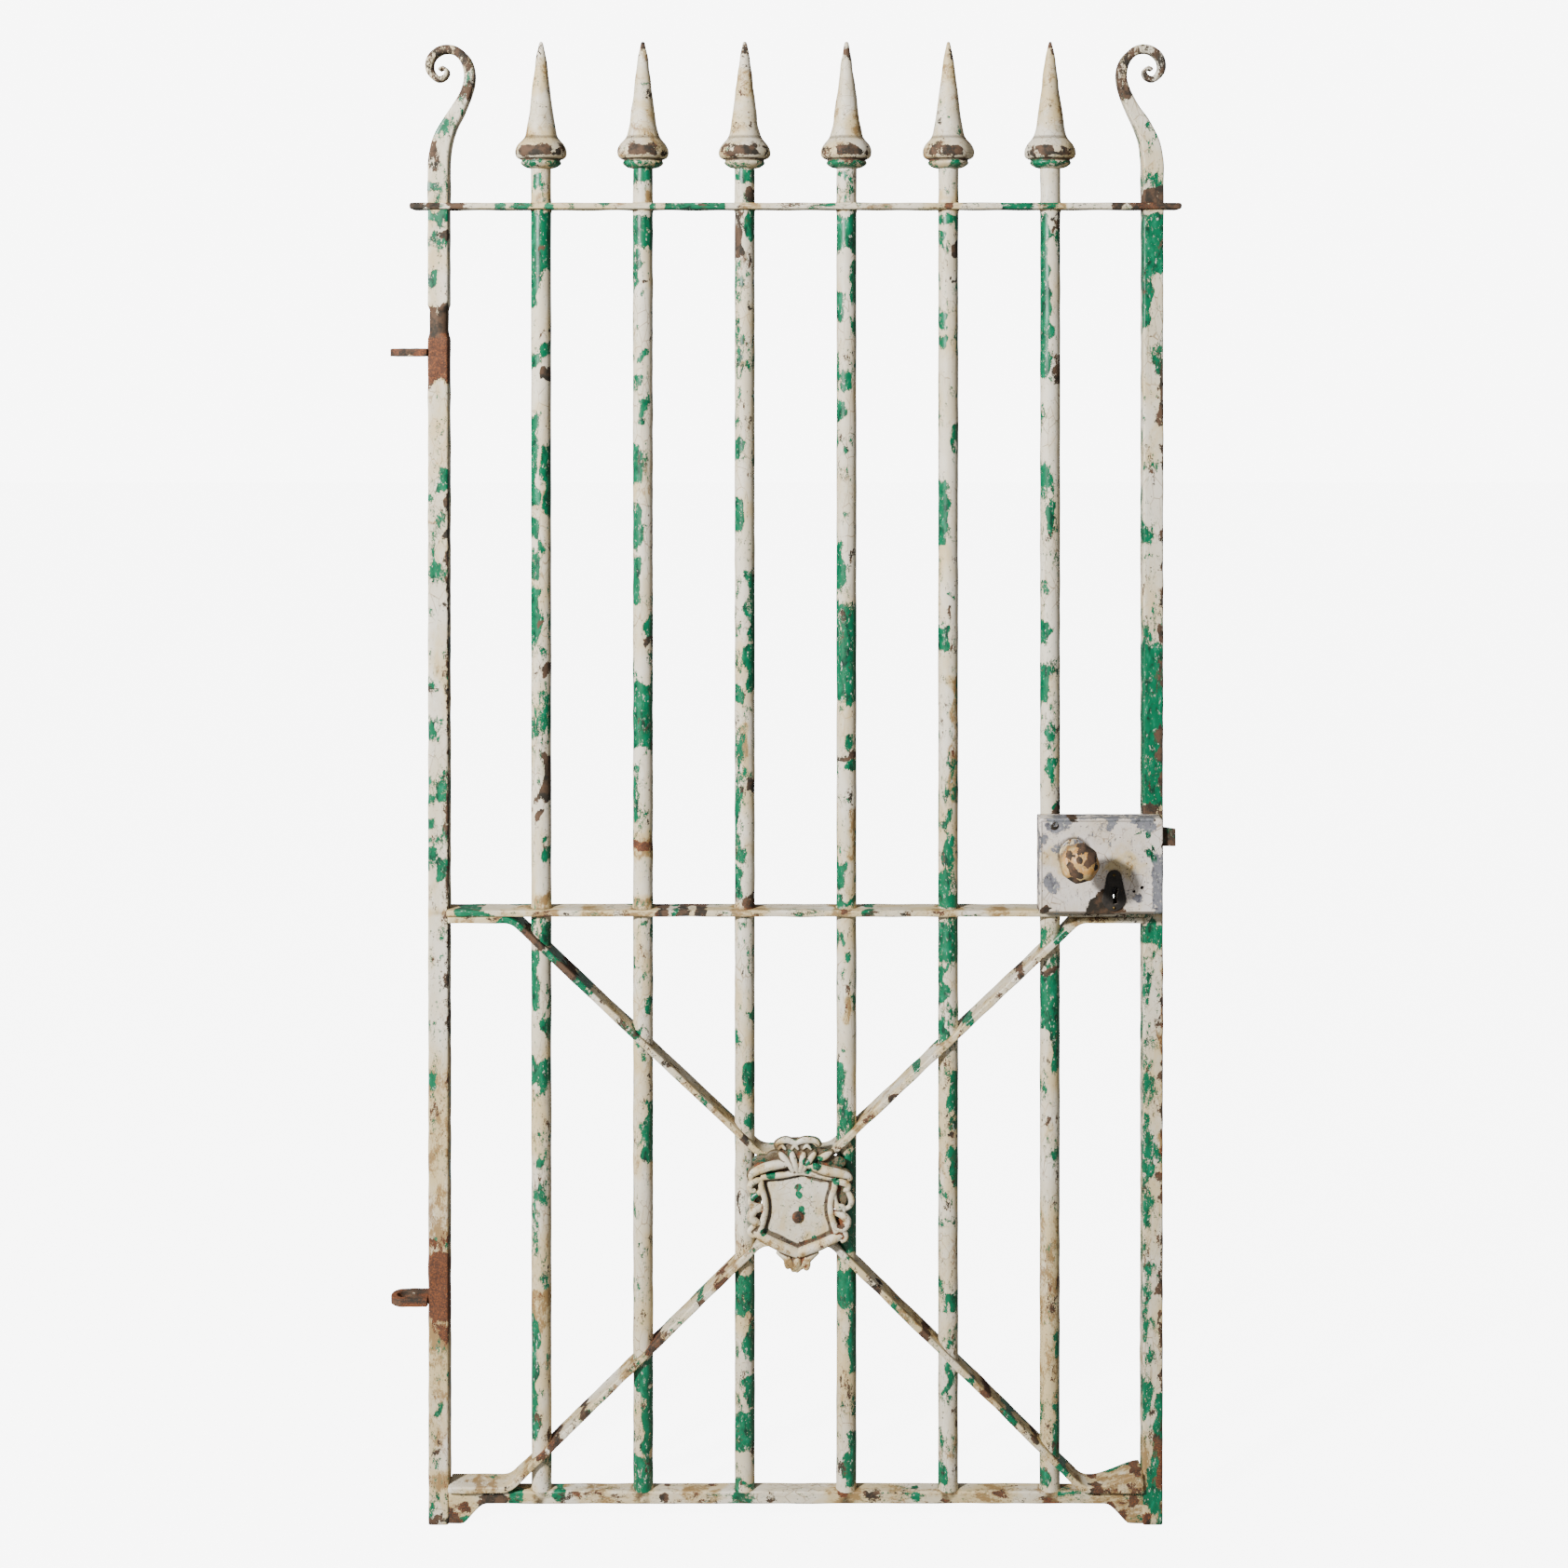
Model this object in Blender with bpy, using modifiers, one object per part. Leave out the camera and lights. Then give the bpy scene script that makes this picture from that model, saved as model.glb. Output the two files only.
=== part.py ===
"""Wrought-iron garden gate leaf, in metres, +Z up, front towards -Y.

The origin is on the swing axis, through both hinge eyes, level with the leaf's feet.
The leaf is drawn about its own centre line and moved by the leaf_centre empty."""

from math import cos, pi, radians, sin, sqrt

import bmesh
import bpy
from mathutils import Matrix, Vector

# ---- driving dimensions ----
GAP = 0.0003  # between touching pieces

BAR_PITCH = 0.127
BAR_COUNT = 6
BAR_RADIUS = 0.0127
STILE_X = BAR_PITCH * 3.5  # centre of each stile, either side of the middle
STILE_FACE = 0.0254
STILE_DEPTH = 0.0286
SWING_X = 0.488  # swing axis to the middle of the leaf

FLAT_THICK = 0.008
FLAT_DEPTH = 0.038
TOP_RAIL_Z = 1.637  # underside
TOP_RAIL_OVERHANG = 0.022  # beyond each stile
MID_RAIL_Z = 0.7585
BOTTOM_RAIL_Z = 0.025
BOTTOM_RAIL_THICK = 0.016
BOTTOM_RAIL_DEPTH = 0.024
TENON = 0.012  # how far a rail enters a stile
TENON_WIDE = 0.014

SPEAR_Z = 1.689
SPEAR_TIP_Z = 1.847
BAR_TENON_RADIUS = 0.007
BAR_TENON_UP = 0.022

NECK_LOW = 1.4816
NECK_HIGH = 1.5165
NECK_RADIUS = 0.0123

BRACE_CENTRE = 0.043  # half width of each brace's middle flat
UPPER_BRACE_FOOT_X = 0.352
UPPER_BRACE_MID_Z = 0.462
LOWER_BRACE_FOOT_X = 0.357
LOWER_BRACE_MID_Z = 0.353

EYE_Z = {"upper": 1.459, "lower": 0.278}
EYE_THICK = 0.010
EYE_RADIUS = 0.0175
EYE_HOLE = 0.0095

BOSS_X = 0.003
BOSS_Z = 0.402
BOSS_HALF_WIDE = 0.0565
BOSS_THICK = 0.007
BOSS_RIM = 0.0065
RIVET_Z = 0.389
RIVET_RADIUS = 0.0045
STRAP_THICK = 0.006

CASE_LEFT, CASE_RIGHT = 0.2995, 0.452
CASE_LOW, CASE_HIGH = 0.768, 0.886
CASE_FRONT, CASE_BACK = -0.0446, -0.0179
CASE_WALL = 0.002
PLATE_FRONT, PLATE_BACK = -0.0176, -0.0146

SPINDLE_X, SPINDLE_Z = 0.3425, 0.843
SPINDLE_SIDE = 0.007
FOLLOWER_RADIUS = 0.010
FOLLOWER_ARM = 0.021
KNOB_RADIUS = 0.0245
KNOB_FRONT_Y = -0.0482
KNOB_REAR_Y = -0.0114
REAR_STEM = 0.009  # extra stem, to clear the bar

LATCH_Z, LATCH_TALL = 0.861, 0.022
LATCH_END = 0.469
DEAD_Z, DEAD_TALL = 0.8265, 0.031
DEAD_END = 0.4537

KEY_X, KEY_Z = 0.393, 0.798
KEY_HOLE_RADIUS, KEY_SLOT, KEY_SLOT_LOW = 0.004, 0.005, 0.781

bar_positions = [(i - (BAR_COUNT - 1) / 2) * BAR_PITCH for i in range(BAR_COUNT)]


# ---- scene and helpers ----
def clear_scene():
    for obj in list(bpy.data.objects):
        bpy.data.objects.remove(obj, do_unlink=True)


def new_collection(name, hidden=False):
    found = bpy.data.collections.new(name)
    bpy.context.scene.collection.children.link(found)
    found.hide_render = hidden
    return found


clear_scene()
gate = new_collection("garden_gate")
cutters = new_collection("cutters", hidden=True)

leaf = bpy.data.objects.new("leaf_centre", None)
leaf.location = (SWING_X, 0, 0)
gate.objects.link(leaf)

knob_axis = bpy.data.objects.new("knob_axis", None)
knob_axis.parent = leaf
knob_axis.location = (SPINDLE_X, 0, SPINDLE_Z)
gate.objects.link(knob_axis)


def material(name, colour, roughness, metallic):
    made = bpy.data.materials.new(name)
    made.use_nodes = True
    shader = made.node_tree.nodes["Principled BSDF"]
    shader.inputs["Base Color"].default_value = (*colour, 1)
    shader.inputs["Roughness"].default_value = roughness
    shader.inputs["Metallic"].default_value = metallic
    return made


cream_paint = material("cream_paint", (0.72, 0.68, 0.58), 0.55, 0)
rusty_iron = material("rusty_iron", (0.16, 0.09, 0.06), 0.8, 0.3)
bare_steel = material("bare_steel", (0.36, 0.37, 0.4), 0.4, 0.9)
brass = material("brass", (0.6, 0.45, 0.2), 0.35, 1)


def place(obj, look=None, parent=leaf):
    """Puts a solid in the gate, or, with no look, among the cutters."""
    if look:
        gate.objects.link(obj)
        obj.data.materials.append(look)
        obj.parent = parent
    else:
        cutters.objects.link(obj)
        obj.parent = parent
        obj.hide_render = True
        obj.display_type = "WIRE"
    return obj


def box(name, low, high, look=None, parent=leaf):
    """A box between two corners, its origin at its middle."""
    low, high = Vector(low), Vector(high)
    mesh = bpy.data.meshes.new(name)
    shape = bmesh.new()
    bmesh.ops.create_cube(shape, size=1, matrix=Matrix.Diagonal((*(high - low), 1)))
    shape.to_mesh(mesh)
    shape.free()
    obj = bpy.data.objects.new(name, mesh)
    obj.location = (low + high) / 2
    return place(obj, look, parent)


def rod(name, radius, start, end, look=None, sides=20, end_radius=None, parent=leaf):
    """A round rod, or a cone, from start to end."""
    start, end = Vector(start), Vector(end)
    run = end - start
    mesh = bpy.data.meshes.new(name)
    shape = bmesh.new()
    bmesh.ops.create_cone(
        shape, cap_ends=True, segments=sides, depth=run.length,
        radius1=radius, radius2=radius if end_radius is None else end_radius,
    )
    shape.to_mesh(mesh)
    shape.free()
    obj = bpy.data.objects.new(name, mesh)
    obj.location = (start + end) / 2
    obj.rotation_euler = Vector((0, 0, 1)).rotation_difference(run).to_euler()
    return place(obj, look, parent)


def turned(name, profile, look=None, steps=20, along_y=False, parent=leaf):
    """A turned solid. The profile runs down its outer side as (radius, height) pairs."""
    mesh = bpy.data.meshes.new(name)
    edges = [(i, i + 1) for i in range(len(profile) - 1)]
    mesh.from_pydata([(radius, 0, height) for radius, height in profile], edges, [])
    obj = bpy.data.objects.new(name, mesh)
    spin = obj.modifiers.new("turn", "SCREW")
    spin.steps = spin.render_steps = steps
    spin.use_merge_vertices = True
    spin.merge_threshold = 0.00005
    if along_y:
        obj.rotation_euler = (radians(90), 0, 0)  # the profile's height becomes -Y
    return place(obj, look, parent)


def outline(name, points, thick, look=None, flat=False, parent=leaf, at=0.0):
    """A flat outline, extruded by its thickness about the level at.

    Points are (x, z) in an upright plate, or (x, y) in a plate that lies flat."""
    curve = bpy.data.curves.new(name, "CURVE")
    curve.dimensions = "2D"
    curve.fill_mode = "BOTH"
    curve.extrude = thick / 2
    spline = curve.splines.new("POLY")
    spline.points.add(len(points) - 1)
    for point, (across, up) in zip(spline.points, points):
        point.co = (across, up, 0, 1)
    spline.use_cyclic_u = True
    drawn = bpy.data.objects.new(name + "_curve", curve)
    bpy.context.scene.collection.objects.link(drawn)
    if not flat:
        drawn.rotation_euler = (radians(90), 0, 0)
    drawn.location = (0, 0, at) if flat else (0, at, 0)
    return as_mesh(name, drawn, look, parent)


def as_mesh(name, drawn, look, parent):
    """Replaces a curve object by a closed mesh object."""
    bpy.context.view_layer.update()
    shown = drawn.evaluated_get(bpy.context.evaluated_depsgraph_get())
    mesh = bpy.data.meshes.new_from_object(shown)
    mesh.name = name
    shape = bmesh.new()
    shape.from_mesh(mesh)
    bmesh.ops.remove_doubles(shape, verts=shape.verts, dist=0.00001)
    bmesh.ops.recalc_face_normals(shape, faces=shape.faces)
    shape.to_mesh(mesh)
    shape.free()
    mesh.materials.clear()
    obj = bpy.data.objects.new(name, mesh)
    obj.matrix_world = drawn.matrix_world.copy()
    bpy.data.objects.remove(drawn, do_unlink=True)
    return place(obj, look, parent)


def boolean(obj, other, operation):
    step = obj.modifiers.new(other.name, "BOOLEAN")
    step.operation = operation
    step.object = other
    return obj


def cut(obj, *others):
    for other in others:
        boolean(obj, other, "DIFFERENCE")
    return obj


def join(obj, *others):
    for other in others:
        boolean(obj, other, "UNION")
    return obj


def smooth(obj, angle=35):
    obj.data.shade_smooth()
    obj.data.set_sharp_from_angle(angle=radians(angle))
    return obj


def arc(centre, radius, start, end, count):
    """Points along an arc, angles in degrees."""
    turn = [radians(start + (end - start) * i / count) for i in range(count + 1)]
    return [(centre[0] + radius * cos(a), centre[1] + radius * sin(a)) for a in turn]


def strip(path, half):
    """The outline of a strip of the given half widths along a path, mitred at its bends."""
    halves = half if isinstance(half, list) else [half] * len(path)
    left, right = [], []
    for i, (x, z) in enumerate(path):
        before = path[max(i - 1, 0)]
        after = path[min(i + 1, len(path) - 1)]
        into = Vector((x - before[0], z - before[1]))
        out = Vector((after[0] - x, after[1] - z))
        into = into.normalized() if into.length else out.normalized()
        out = out.normalized() if out.length else into
        along = (into + out).normalized()
        side = Vector((-along.y, along.x)) * halves[i] / max(along.dot(into), 0.3)
        left.append((x + side.x, z + side.y))
        right.append((x - side.x, z - side.y))
    return left + right[::-1]


def mirrored(path):
    """A path from the left end to the middle, carried on to the right end."""
    return path + [(-x, z) for x, z in reversed(path)]


# ---- the stiles, with their scrolls ----
def smooth_path(points, per_span):
    """A smooth curve through points, as a list. Each span is a cubic set by its two neighbours."""
    made = []
    for i in range(len(points) - 1):
        before, start, end, after = (
            Vector(points[min(max(i + j, 0), len(points) - 1)]) for j in (-1, 0, 1, 2)
        )
        for k in range(per_span):
            t = k / per_span
            made.append(
                start
                + (end - before) * t / 2
                + (before * 2 - start * 5 + end * 4 - after) * t**2 / 2
                + (start * 3 - before - end * 3 + after) * t**3 / 2
            )
    return made + [Vector(points[-1])]


# The scroll's middle line: (towards the gate, height, half width) in mm. An S bend swings the
# bar in, then it thins, turns out over the top and curls up on itself.
SCROLL = [
    (0, 1680, 13.0),
    (0.5, 1700, 12.8),
    (4.5, 1722, 11.6),
    (13, 1742, 9.6),
    (24, 1761, 7.6),
    (34, 1782, 6.0),
    (38.5, 1803, 5.2),
    (34, 1822, 4.8),
    (20.5, 1835, 4.5),
    (4, 1836, 4.4),
    (-9, 1826, 4.4),
    (-11, 1811, 4.2),
    (-2, 1800, 3.7),
    (7, 1801.5, 3.3),
    (10.5, 1808.5, 2.8),
    (5.5, 1813.5, 2.3),
    (0.5, 1810.5, 1.8),
]


def stile_outline(side):
    """The stile's whole outline, foot to scroll. side is -1 at the hinges, 1 at the lock."""
    bent = [Vector(point) / 1000 for point in SCROLL]
    scroll = smooth_path(bent, 4)
    path = [(0, 0)] + [(-point.x, point.y) for point in scroll]
    halves = [STILE_FACE / 2] + [point.z for point in scroll]
    return [(side * (STILE_X + x), z) for x, z in strip(path, halves)]


def mortises(name, side):
    """Cutters for the two rail tenons in a stile."""
    inner = side * (STILE_X - STILE_FACE / 2)
    deep = inner + side * (TENON + GAP)
    mouth = inner - side * 0.002
    low, high = sorted((deep, mouth))
    wide = TENON_WIDE / 2 + GAP
    rails = {"mid": (MID_RAIL_Z, FLAT_THICK), "bottom": (BOTTOM_RAIL_Z, BOTTOM_RAIL_THICK)}
    return [
        box(f"{name}_{rail}_mortise", (low, -wide, z - GAP), (high, wide, z + thick + GAP))
        for rail, (z, thick) in rails.items()
    ]


heel_stile = outline("heel_stile", stile_outline(-1), STILE_DEPTH, cream_paint)
latch_stile = outline("latch_stile", stile_outline(1), STILE_DEPTH, cream_paint)
cut(heel_stile, *mortises("heel", -1))
cut(latch_stile, *mortises("latch", 1))

neck_low, neck_high = (-STILE_X - 0.02, -0.02, NECK_LOW), (-STILE_X + 0.02, 0.02, NECK_HIGH)
neck_block = box("neck_block", neck_low, neck_high)
core_low, core_high = (-STILE_X, 0, NECK_LOW - 0.01), (-STILE_X, 0, NECK_HIGH + 0.01)
neck_core = rod("neck_core", NECK_RADIUS, core_low, core_high, sides=24)
cut(heel_stile, cut(neck_block, neck_core))


# ---- rails ----
def bar_holes(name, low, high, radius=BAR_RADIUS + GAP, sides=20):
    return [
        rod(f"{name}_hole_{i + 1}", radius, (x, 0, low), (x, 0, high), sides=sides)
        for i, x in enumerate(bar_positions)
    ]


def top_rail():
    tip = STILE_X + STILE_FACE / 2 + TOP_RAIL_OVERHANG
    round_end = FLAT_DEPTH / 2
    right_end = arc((tip - round_end, 0), round_end, -90, 90, 10)
    left_end = [(-x, -y) for x, y in right_end]
    rail = outline(
        "top_rail", right_end + left_end, FLAT_THICK, cream_paint, flat=True, at=TOP_RAIL_Z + FLAT_THICK / 2
    )
    low, high = TOP_RAIL_Z - 0.005, TOP_RAIL_Z + FLAT_THICK + 0.005
    half_x, half_y = STILE_FACE / 2 + GAP, STILE_DEPTH / 2 + GAP
    for side in (-1, 1):
        x = side * STILE_X
        slot = box(f"top_rail_slot_{side}", (x - half_x, -half_y, low), (x + half_x, half_y, high))
        cut(rail, slot)
    cut(rail, *bar_holes("top_rail", low, high))


def tenons(name, z, thick):
    """A bar that runs through a rail and stands out of both its ends as tenons."""
    end = STILE_X - STILE_FACE / 2 + TENON
    return box(name, (-end, -TENON_WIDE / 2, z), (end, TENON_WIDE / 2, z + thick))


def mid_rail():
    end = STILE_X - STILE_FACE / 2 - GAP
    rail = box(
        "mid_rail",
        (-end, -FLAT_DEPTH / 2, MID_RAIL_Z),
        (end, FLAT_DEPTH / 2, MID_RAIL_Z + FLAT_THICK),
        cream_paint,
    )
    join(rail, tenons("mid_rail_tenons", MID_RAIL_Z, FLAT_THICK))
    cut(rail, *bar_holes("mid_rail", MID_RAIL_Z - 0.005, MID_RAIL_Z + FLAT_THICK + 0.005))


def bottom_rail():
    """A thick flat bar whose ends swell down to the ground in a hollow curve."""
    end = STILE_X - STILE_FACE / 2 - GAP
    top = BOTTOM_RAIL_Z + BOTTOM_RAIL_THICK
    foot, cove = 0.415, 0.030
    curve = [
        (-foot + cove * t, BOTTOM_RAIL_Z * (t * t * (3 - 2 * t)) ** 0.75)
        for t in (i / 8 for i in range(9))
    ]
    left = [(-end, top), (-end, 0)] + curve
    rail = outline("bottom_rail", mirrored(left), BOTTOM_RAIL_DEPTH, cream_paint)
    join(rail, tenons("bottom_rail_tenons", BOTTOM_RAIL_Z, BOTTOM_RAIL_THICK))
    radius = BAR_TENON_RADIUS + GAP
    cut(rail, *bar_holes("bottom_rail", BOTTOM_RAIL_Z - 0.005, top + 0.005, radius, 12))


top_rail()
mid_rail()
bottom_rail()


# ---- bars and spears ----
def bar(number, x):
    """A round bar with a tenon at each end: one through the bottom rail, one into the spear."""
    shoulder = BOTTOM_RAIL_Z + BOTTOM_RAIL_THICK + GAP
    top = SPEAR_Z - GAP
    profile = [
        (0, top + BAR_TENON_UP),
        (BAR_TENON_RADIUS, top + BAR_TENON_UP),
        (BAR_TENON_RADIUS, top),
        (BAR_RADIUS, top),
        (BAR_RADIUS, shoulder),
        (BAR_TENON_RADIUS, shoulder),
        (BAR_TENON_RADIUS, BOTTOM_RAIL_Z),
        (0, BOTTOM_RAIL_Z),
    ]
    made = turned(f"bar_{number}", profile, cream_paint)
    made.location.x = x
    return smooth(made)


def spear(number, x):
    """A round spear head: tapered blade, flared skirt, wide collar and a lower ring."""
    length = SPEAR_TIP_Z - SPEAR_Z
    blade = [
        (0, length),
        (0.0025, length - 0.002),
        (0.0068, 0.138),
        (0.0150, 0.072),
        (0.0185, 0.045),
        (0.0225, 0.036),
        (0.0290, 0.028),
        (0.0320, 0.0185),
        (0.0290, 0.0115),
        (0.0240, 0.0100),
        (0.0255, 0.0065),
        (0.0180, 0),
    ]
    socket = BAR_TENON_RADIUS + GAP
    deep = BAR_TENON_UP + GAP
    profile = blade + [(socket, 0), (socket, deep), (0, deep)]
    made = turned(f"spear_{number}", profile, cream_paint, steps=16)
    made.location = (x, 0, SPEAR_Z)
    return smooth(made)


bars = [bar(i + 1, x) for i, x in enumerate(bar_positions)]
for index, position in enumerate(bar_positions):
    spear(index + 1, position)


# ---- braces ----
def brace(name, foot_x, foot_z, mid_z):
    """A flat bar bent from a foot by each stile to a level middle, punched for the bars."""
    end = STILE_X - STILE_FACE / 2 - GAP
    path = mirrored([(-end, foot_z), (-foot_x, foot_z), (-BRACE_CENTRE, mid_z)])
    made = outline(name, strip(path, FLAT_THICK / 2), FLAT_DEPTH, cream_paint)
    low, high = min(foot_z, mid_z) - 0.03, max(foot_z, mid_z) + 0.03
    return cut(made, *bar_holes(name, low, high))


upper_foot_z = MID_RAIL_Z - GAP - FLAT_THICK / 2
lower_foot_z = BOTTOM_RAIL_Z + BOTTOM_RAIL_THICK + GAP + FLAT_THICK / 2
brace("upper_brace", UPPER_BRACE_FOOT_X, upper_foot_z, UPPER_BRACE_MID_Z)
brace("lower_brace", LOWER_BRACE_FOOT_X, lower_foot_z, LOWER_BRACE_MID_Z)


# ---- shield boss ----
def shield_field():
    """A shield with hollow sides, flat shoulders and a pointed foot, about its own centre."""
    half = 0.046
    side = [(half - 0.009 * sin(pi * t), 0.038 - 0.072 * t) for t in (i / 6 for i in range(7))]
    foot = [(half * 0.5, -0.042), (0, -0.050)]
    right = [(0, 0.040)] + side + foot
    return right + [(-x, z) for x, z in reversed(right[1:-1])]


def shield_boss():
    back = -FLAT_DEPTH / 2 - GAP
    at = back - BOSS_THICK / 2
    rim = [(x * BOSS_HALF_WIDE / 0.046, z * 1.16) for x, z in shield_field()]
    crest = arc((0, 0.058), 0.029, 0, 180, 10)
    pendant = arc((0, -0.054), 0.0225, 180, 360, 10)

    def moved(points):
        return [(BOSS_X + x, BOSS_Z + z) for x, z in points]

    boss = outline("shield_boss", moved(rim), BOSS_THICK, cream_paint, at=at)
    top = [(-0.029, 0.040)] + crest[::-1] + [(0.029, 0.040)]
    bottom = [(0.0225, -0.040)] + pendant[::-1] + [(-0.0225, -0.040)]
    depth = BOSS_THICK + BOSS_RIM
    level = back - GAP - depth / 2
    join(boss, outline("boss_crest", moved(top), depth, at=level))
    join(boss, outline("boss_pendant", moved(bottom), depth - 0.002, at=level + 0.001))
    ring = outline("boss_rim", moved(rim), depth - 0.001, at=level + 0.0005)
    field = outline("boss_field", moved(shield_field()), 0.03, at=back - BOSS_THICK - 0.015)
    join(boss, cut(ring, field))
    hole = rod(
        "boss_hole", RIVET_RADIUS + GAP, (BOSS_X, -0.05, RIVET_Z), (BOSS_X, 0.01, RIVET_Z), sides=12
    )
    cut(boss, hole)


def boss_fixing():
    back = FLAT_DEPTH / 2 + GAP
    low, high = LOWER_BRACE_MID_Z - 0.009, UPPER_BRACE_MID_Z + 0.009
    strap = box(
        "boss_back_strap",
        (BOSS_X - 0.019, back, low),
        (BOSS_X + 0.019, back + STRAP_THICK, high),
        rusty_iron,
    )
    hole = rod(
        "strap_hole", RIVET_RADIUS + GAP, (BOSS_X, 0, RIVET_Z), (BOSS_X, 0.05, RIVET_Z), sides=12
    )
    cut(strap, hole)
    field = FLAT_DEPTH / 2 + GAP + BOSS_THICK + GAP
    far = back + STRAP_THICK + GAP
    shank, head = RIVET_RADIUS, 0.0085
    profile = [
        (0, field + 0.0035),
        (head * 0.6, field + 0.003),
        (head, field),
        (shank, field),
        (shank, -far),
        (head, -far),
        (head * 0.6, -far - 0.003),
        (0, -far - 0.0035),
    ]
    rivet = turned("boss_rivet", profile, rusty_iron, steps=12, along_y=True)
    rivet.location = (BOSS_X, 0, RIVET_Z)
    smooth(rivet)


shield_boss()
boss_fixing()


# ---- hinge eyes ----
def hinge_eye(which):
    """A flat lug whose round end is on the swing axis, with the pintle's hole through it."""
    root = -STILE_X - STILE_FACE / 2 - GAP
    turn = arc((-SWING_X, 0), EYE_RADIUS, 90, 270, 14)
    lug = outline(
        f"{which}_hinge_eye",
        turn + [(root, -EYE_RADIUS), (root, EYE_RADIUS)],
        EYE_THICK,
        rusty_iron,
        flat=True,
        at=EYE_Z[which],
    )
    low, high = EYE_Z[which] - EYE_THICK, EYE_Z[which] + EYE_THICK
    cut(lug, rod(f"{which}_eye_hole", EYE_HOLE, (-SWING_X, 0, low), (-SWING_X, 0, high), sides=24))


for which_eye in EYE_Z:
    hinge_eye(which_eye)


# ---- rim lock: case, plate and what is fixed to them ----
def keyhole(name, near, far):
    """A cutter for a round hole with a slot under it, from near to far along Y."""
    top = arc((KEY_X, KEY_Z), KEY_HOLE_RADIUS, -50, 230, 12)
    slot = [(KEY_X - KEY_SLOT / 2, KEY_SLOT_LOW), (KEY_X + KEY_SLOT / 2, KEY_SLOT_LOW)]
    return outline(name, top + slot, abs(far - near), at=(near + far) / 2)


def hole_along_y(name, x, z, radius, near, far, sides=12):
    return rod(name, radius, (x, near, z), (x, far, z), sides=sides)


SCREW_RADIUS = 0.0025
CASE_SCREW_X, CASE_SCREW_Z = bar_positions[-1], 0.878
CASE_SCREW_END = -0.006
PLATE_SCREWS = {"upper": (0.440, 0.8785), "lower": (0.440, 0.788)}
PLATE_SCREW_END = -0.004
PLATE_SCREW_RADIUS = 0.0018
CLEAR_HOLE = SCREW_RADIUS + GAP
JOURNAL = 0.0075


def lock_case():
    low, high = (CASE_LEFT, CASE_FRONT, CASE_LOW), (CASE_RIGHT, CASE_BACK, CASE_HIGH)
    case = box("lock_case", low, high, bare_steel)
    wall = CASE_WALL
    hollow = box(
        "case_hollow",
        (CASE_LEFT + wall, CASE_FRONT + wall, CASE_LOW + wall),
        (CASE_RIGHT - wall, CASE_BACK + 0.01, CASE_HIGH - wall),
    )
    half = LATCH_TALL / 2 + 0.0005
    latch_slot = box(
        "latch_slot", (0.44, -0.0365, LATCH_Z - half), (0.46, -0.0215, LATCH_Z + half)
    )
    half = DEAD_TALL / 2 + 0.0005
    dead_slot = box("dead_slot", (0.44, -0.0355, DEAD_Z - half), (0.46, -0.0225, DEAD_Z + half))
    front = (-0.06, -0.035)
    cut(
        case,
        hollow,
        latch_slot,
        dead_slot,
        keyhole("case_keyhole", *front),
        hole_along_y("case_journal", SPINDLE_X, SPINDLE_Z, JOURNAL + GAP, *front, sides=20),
        hole_along_y("case_screw_hole", CASE_SCREW_X, CASE_SCREW_Z, CLEAR_HOLE, *front),
        hole_along_y("old_hole_1", 0.4160, 0.7965, 0.0014, *front),
        hole_along_y("old_hole_2", 0.4260, 0.8010, 0.0016, *front),
    )


def lock_back_plate():
    plate = box(
        "lock_back_plate",
        (CASE_LEFT, PLATE_FRONT, CASE_LOW),
        (CASE_RIGHT, PLATE_BACK, CASE_HIGH),
        bare_steel,
    )
    through = (PLATE_FRONT - 0.005, PLATE_BACK + 0.005)
    cut(
        plate,
        keyhole("plate_keyhole", *through),
        hole_along_y("plate_journal", SPINDLE_X, SPINDLE_Z, JOURNAL + GAP, *through, sides=20),
        hole_along_y("plate_bar_hole", CASE_SCREW_X, CASE_SCREW_Z, CLEAR_HOLE, *through),
    )
    for name, (x, z) in PLATE_SCREWS.items():
        sink = rod(
            f"plate_{name}_sink",
            0.0044,
            (x, PLATE_FRONT - 0.0005, z),
            (x, PLATE_BACK + 0.0005, z),
            sides=12,
            end_radius=0.0024,
        )
        cut(plate, sink)
        deep = (-0.02, PLATE_SCREW_END + GAP)
        cut(latch_stile, hole_along_y(f"stile_{name}_hole", x, z, PLATE_SCREW_RADIUS + 0.0006, *deep))


def screws():
    head = -CASE_FRONT + GAP
    profile = [
        (0, head + 0.0024),
        (0.0040, head + 0.0021),
        (0.0063, head),
        (SCREW_RADIUS, head),
        (SCREW_RADIUS, -CASE_SCREW_END),
        (0, -CASE_SCREW_END),
    ]
    case_screw = turned("case_screw", profile, bare_steel, steps=16, along_y=True)
    case_screw.location = (CASE_SCREW_X, 0, CASE_SCREW_Z)
    slot_low = (CASE_SCREW_X - 0.008, -head - 0.01, CASE_SCREW_Z - 0.0007)
    slot_high = (CASE_SCREW_X + 0.008, -head - 0.0011, CASE_SCREW_Z + 0.0007)
    cut(case_screw, box("case_screw_slot", slot_low, slot_high))
    deep = (-0.02, CASE_SCREW_END + GAP)
    cut(bars[-1], hole_along_y("bar_screw_hole", CASE_SCREW_X, CASE_SCREW_Z, CLEAR_HOLE, *deep))
    for name, (x, z) in PLATE_SCREWS.items():
        profile = [
            (0, -PLATE_FRONT),
            (0.0039, -PLATE_FRONT),
            (PLATE_SCREW_RADIUS, -PLATE_BACK),
            (PLATE_SCREW_RADIUS, -PLATE_SCREW_END),
            (0, -PLATE_SCREW_END),
        ]
        made = turned(f"plate_screw_{name}", profile, bare_steel, steps=12, along_y=True)
        made.location = (x, 0, z)


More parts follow.
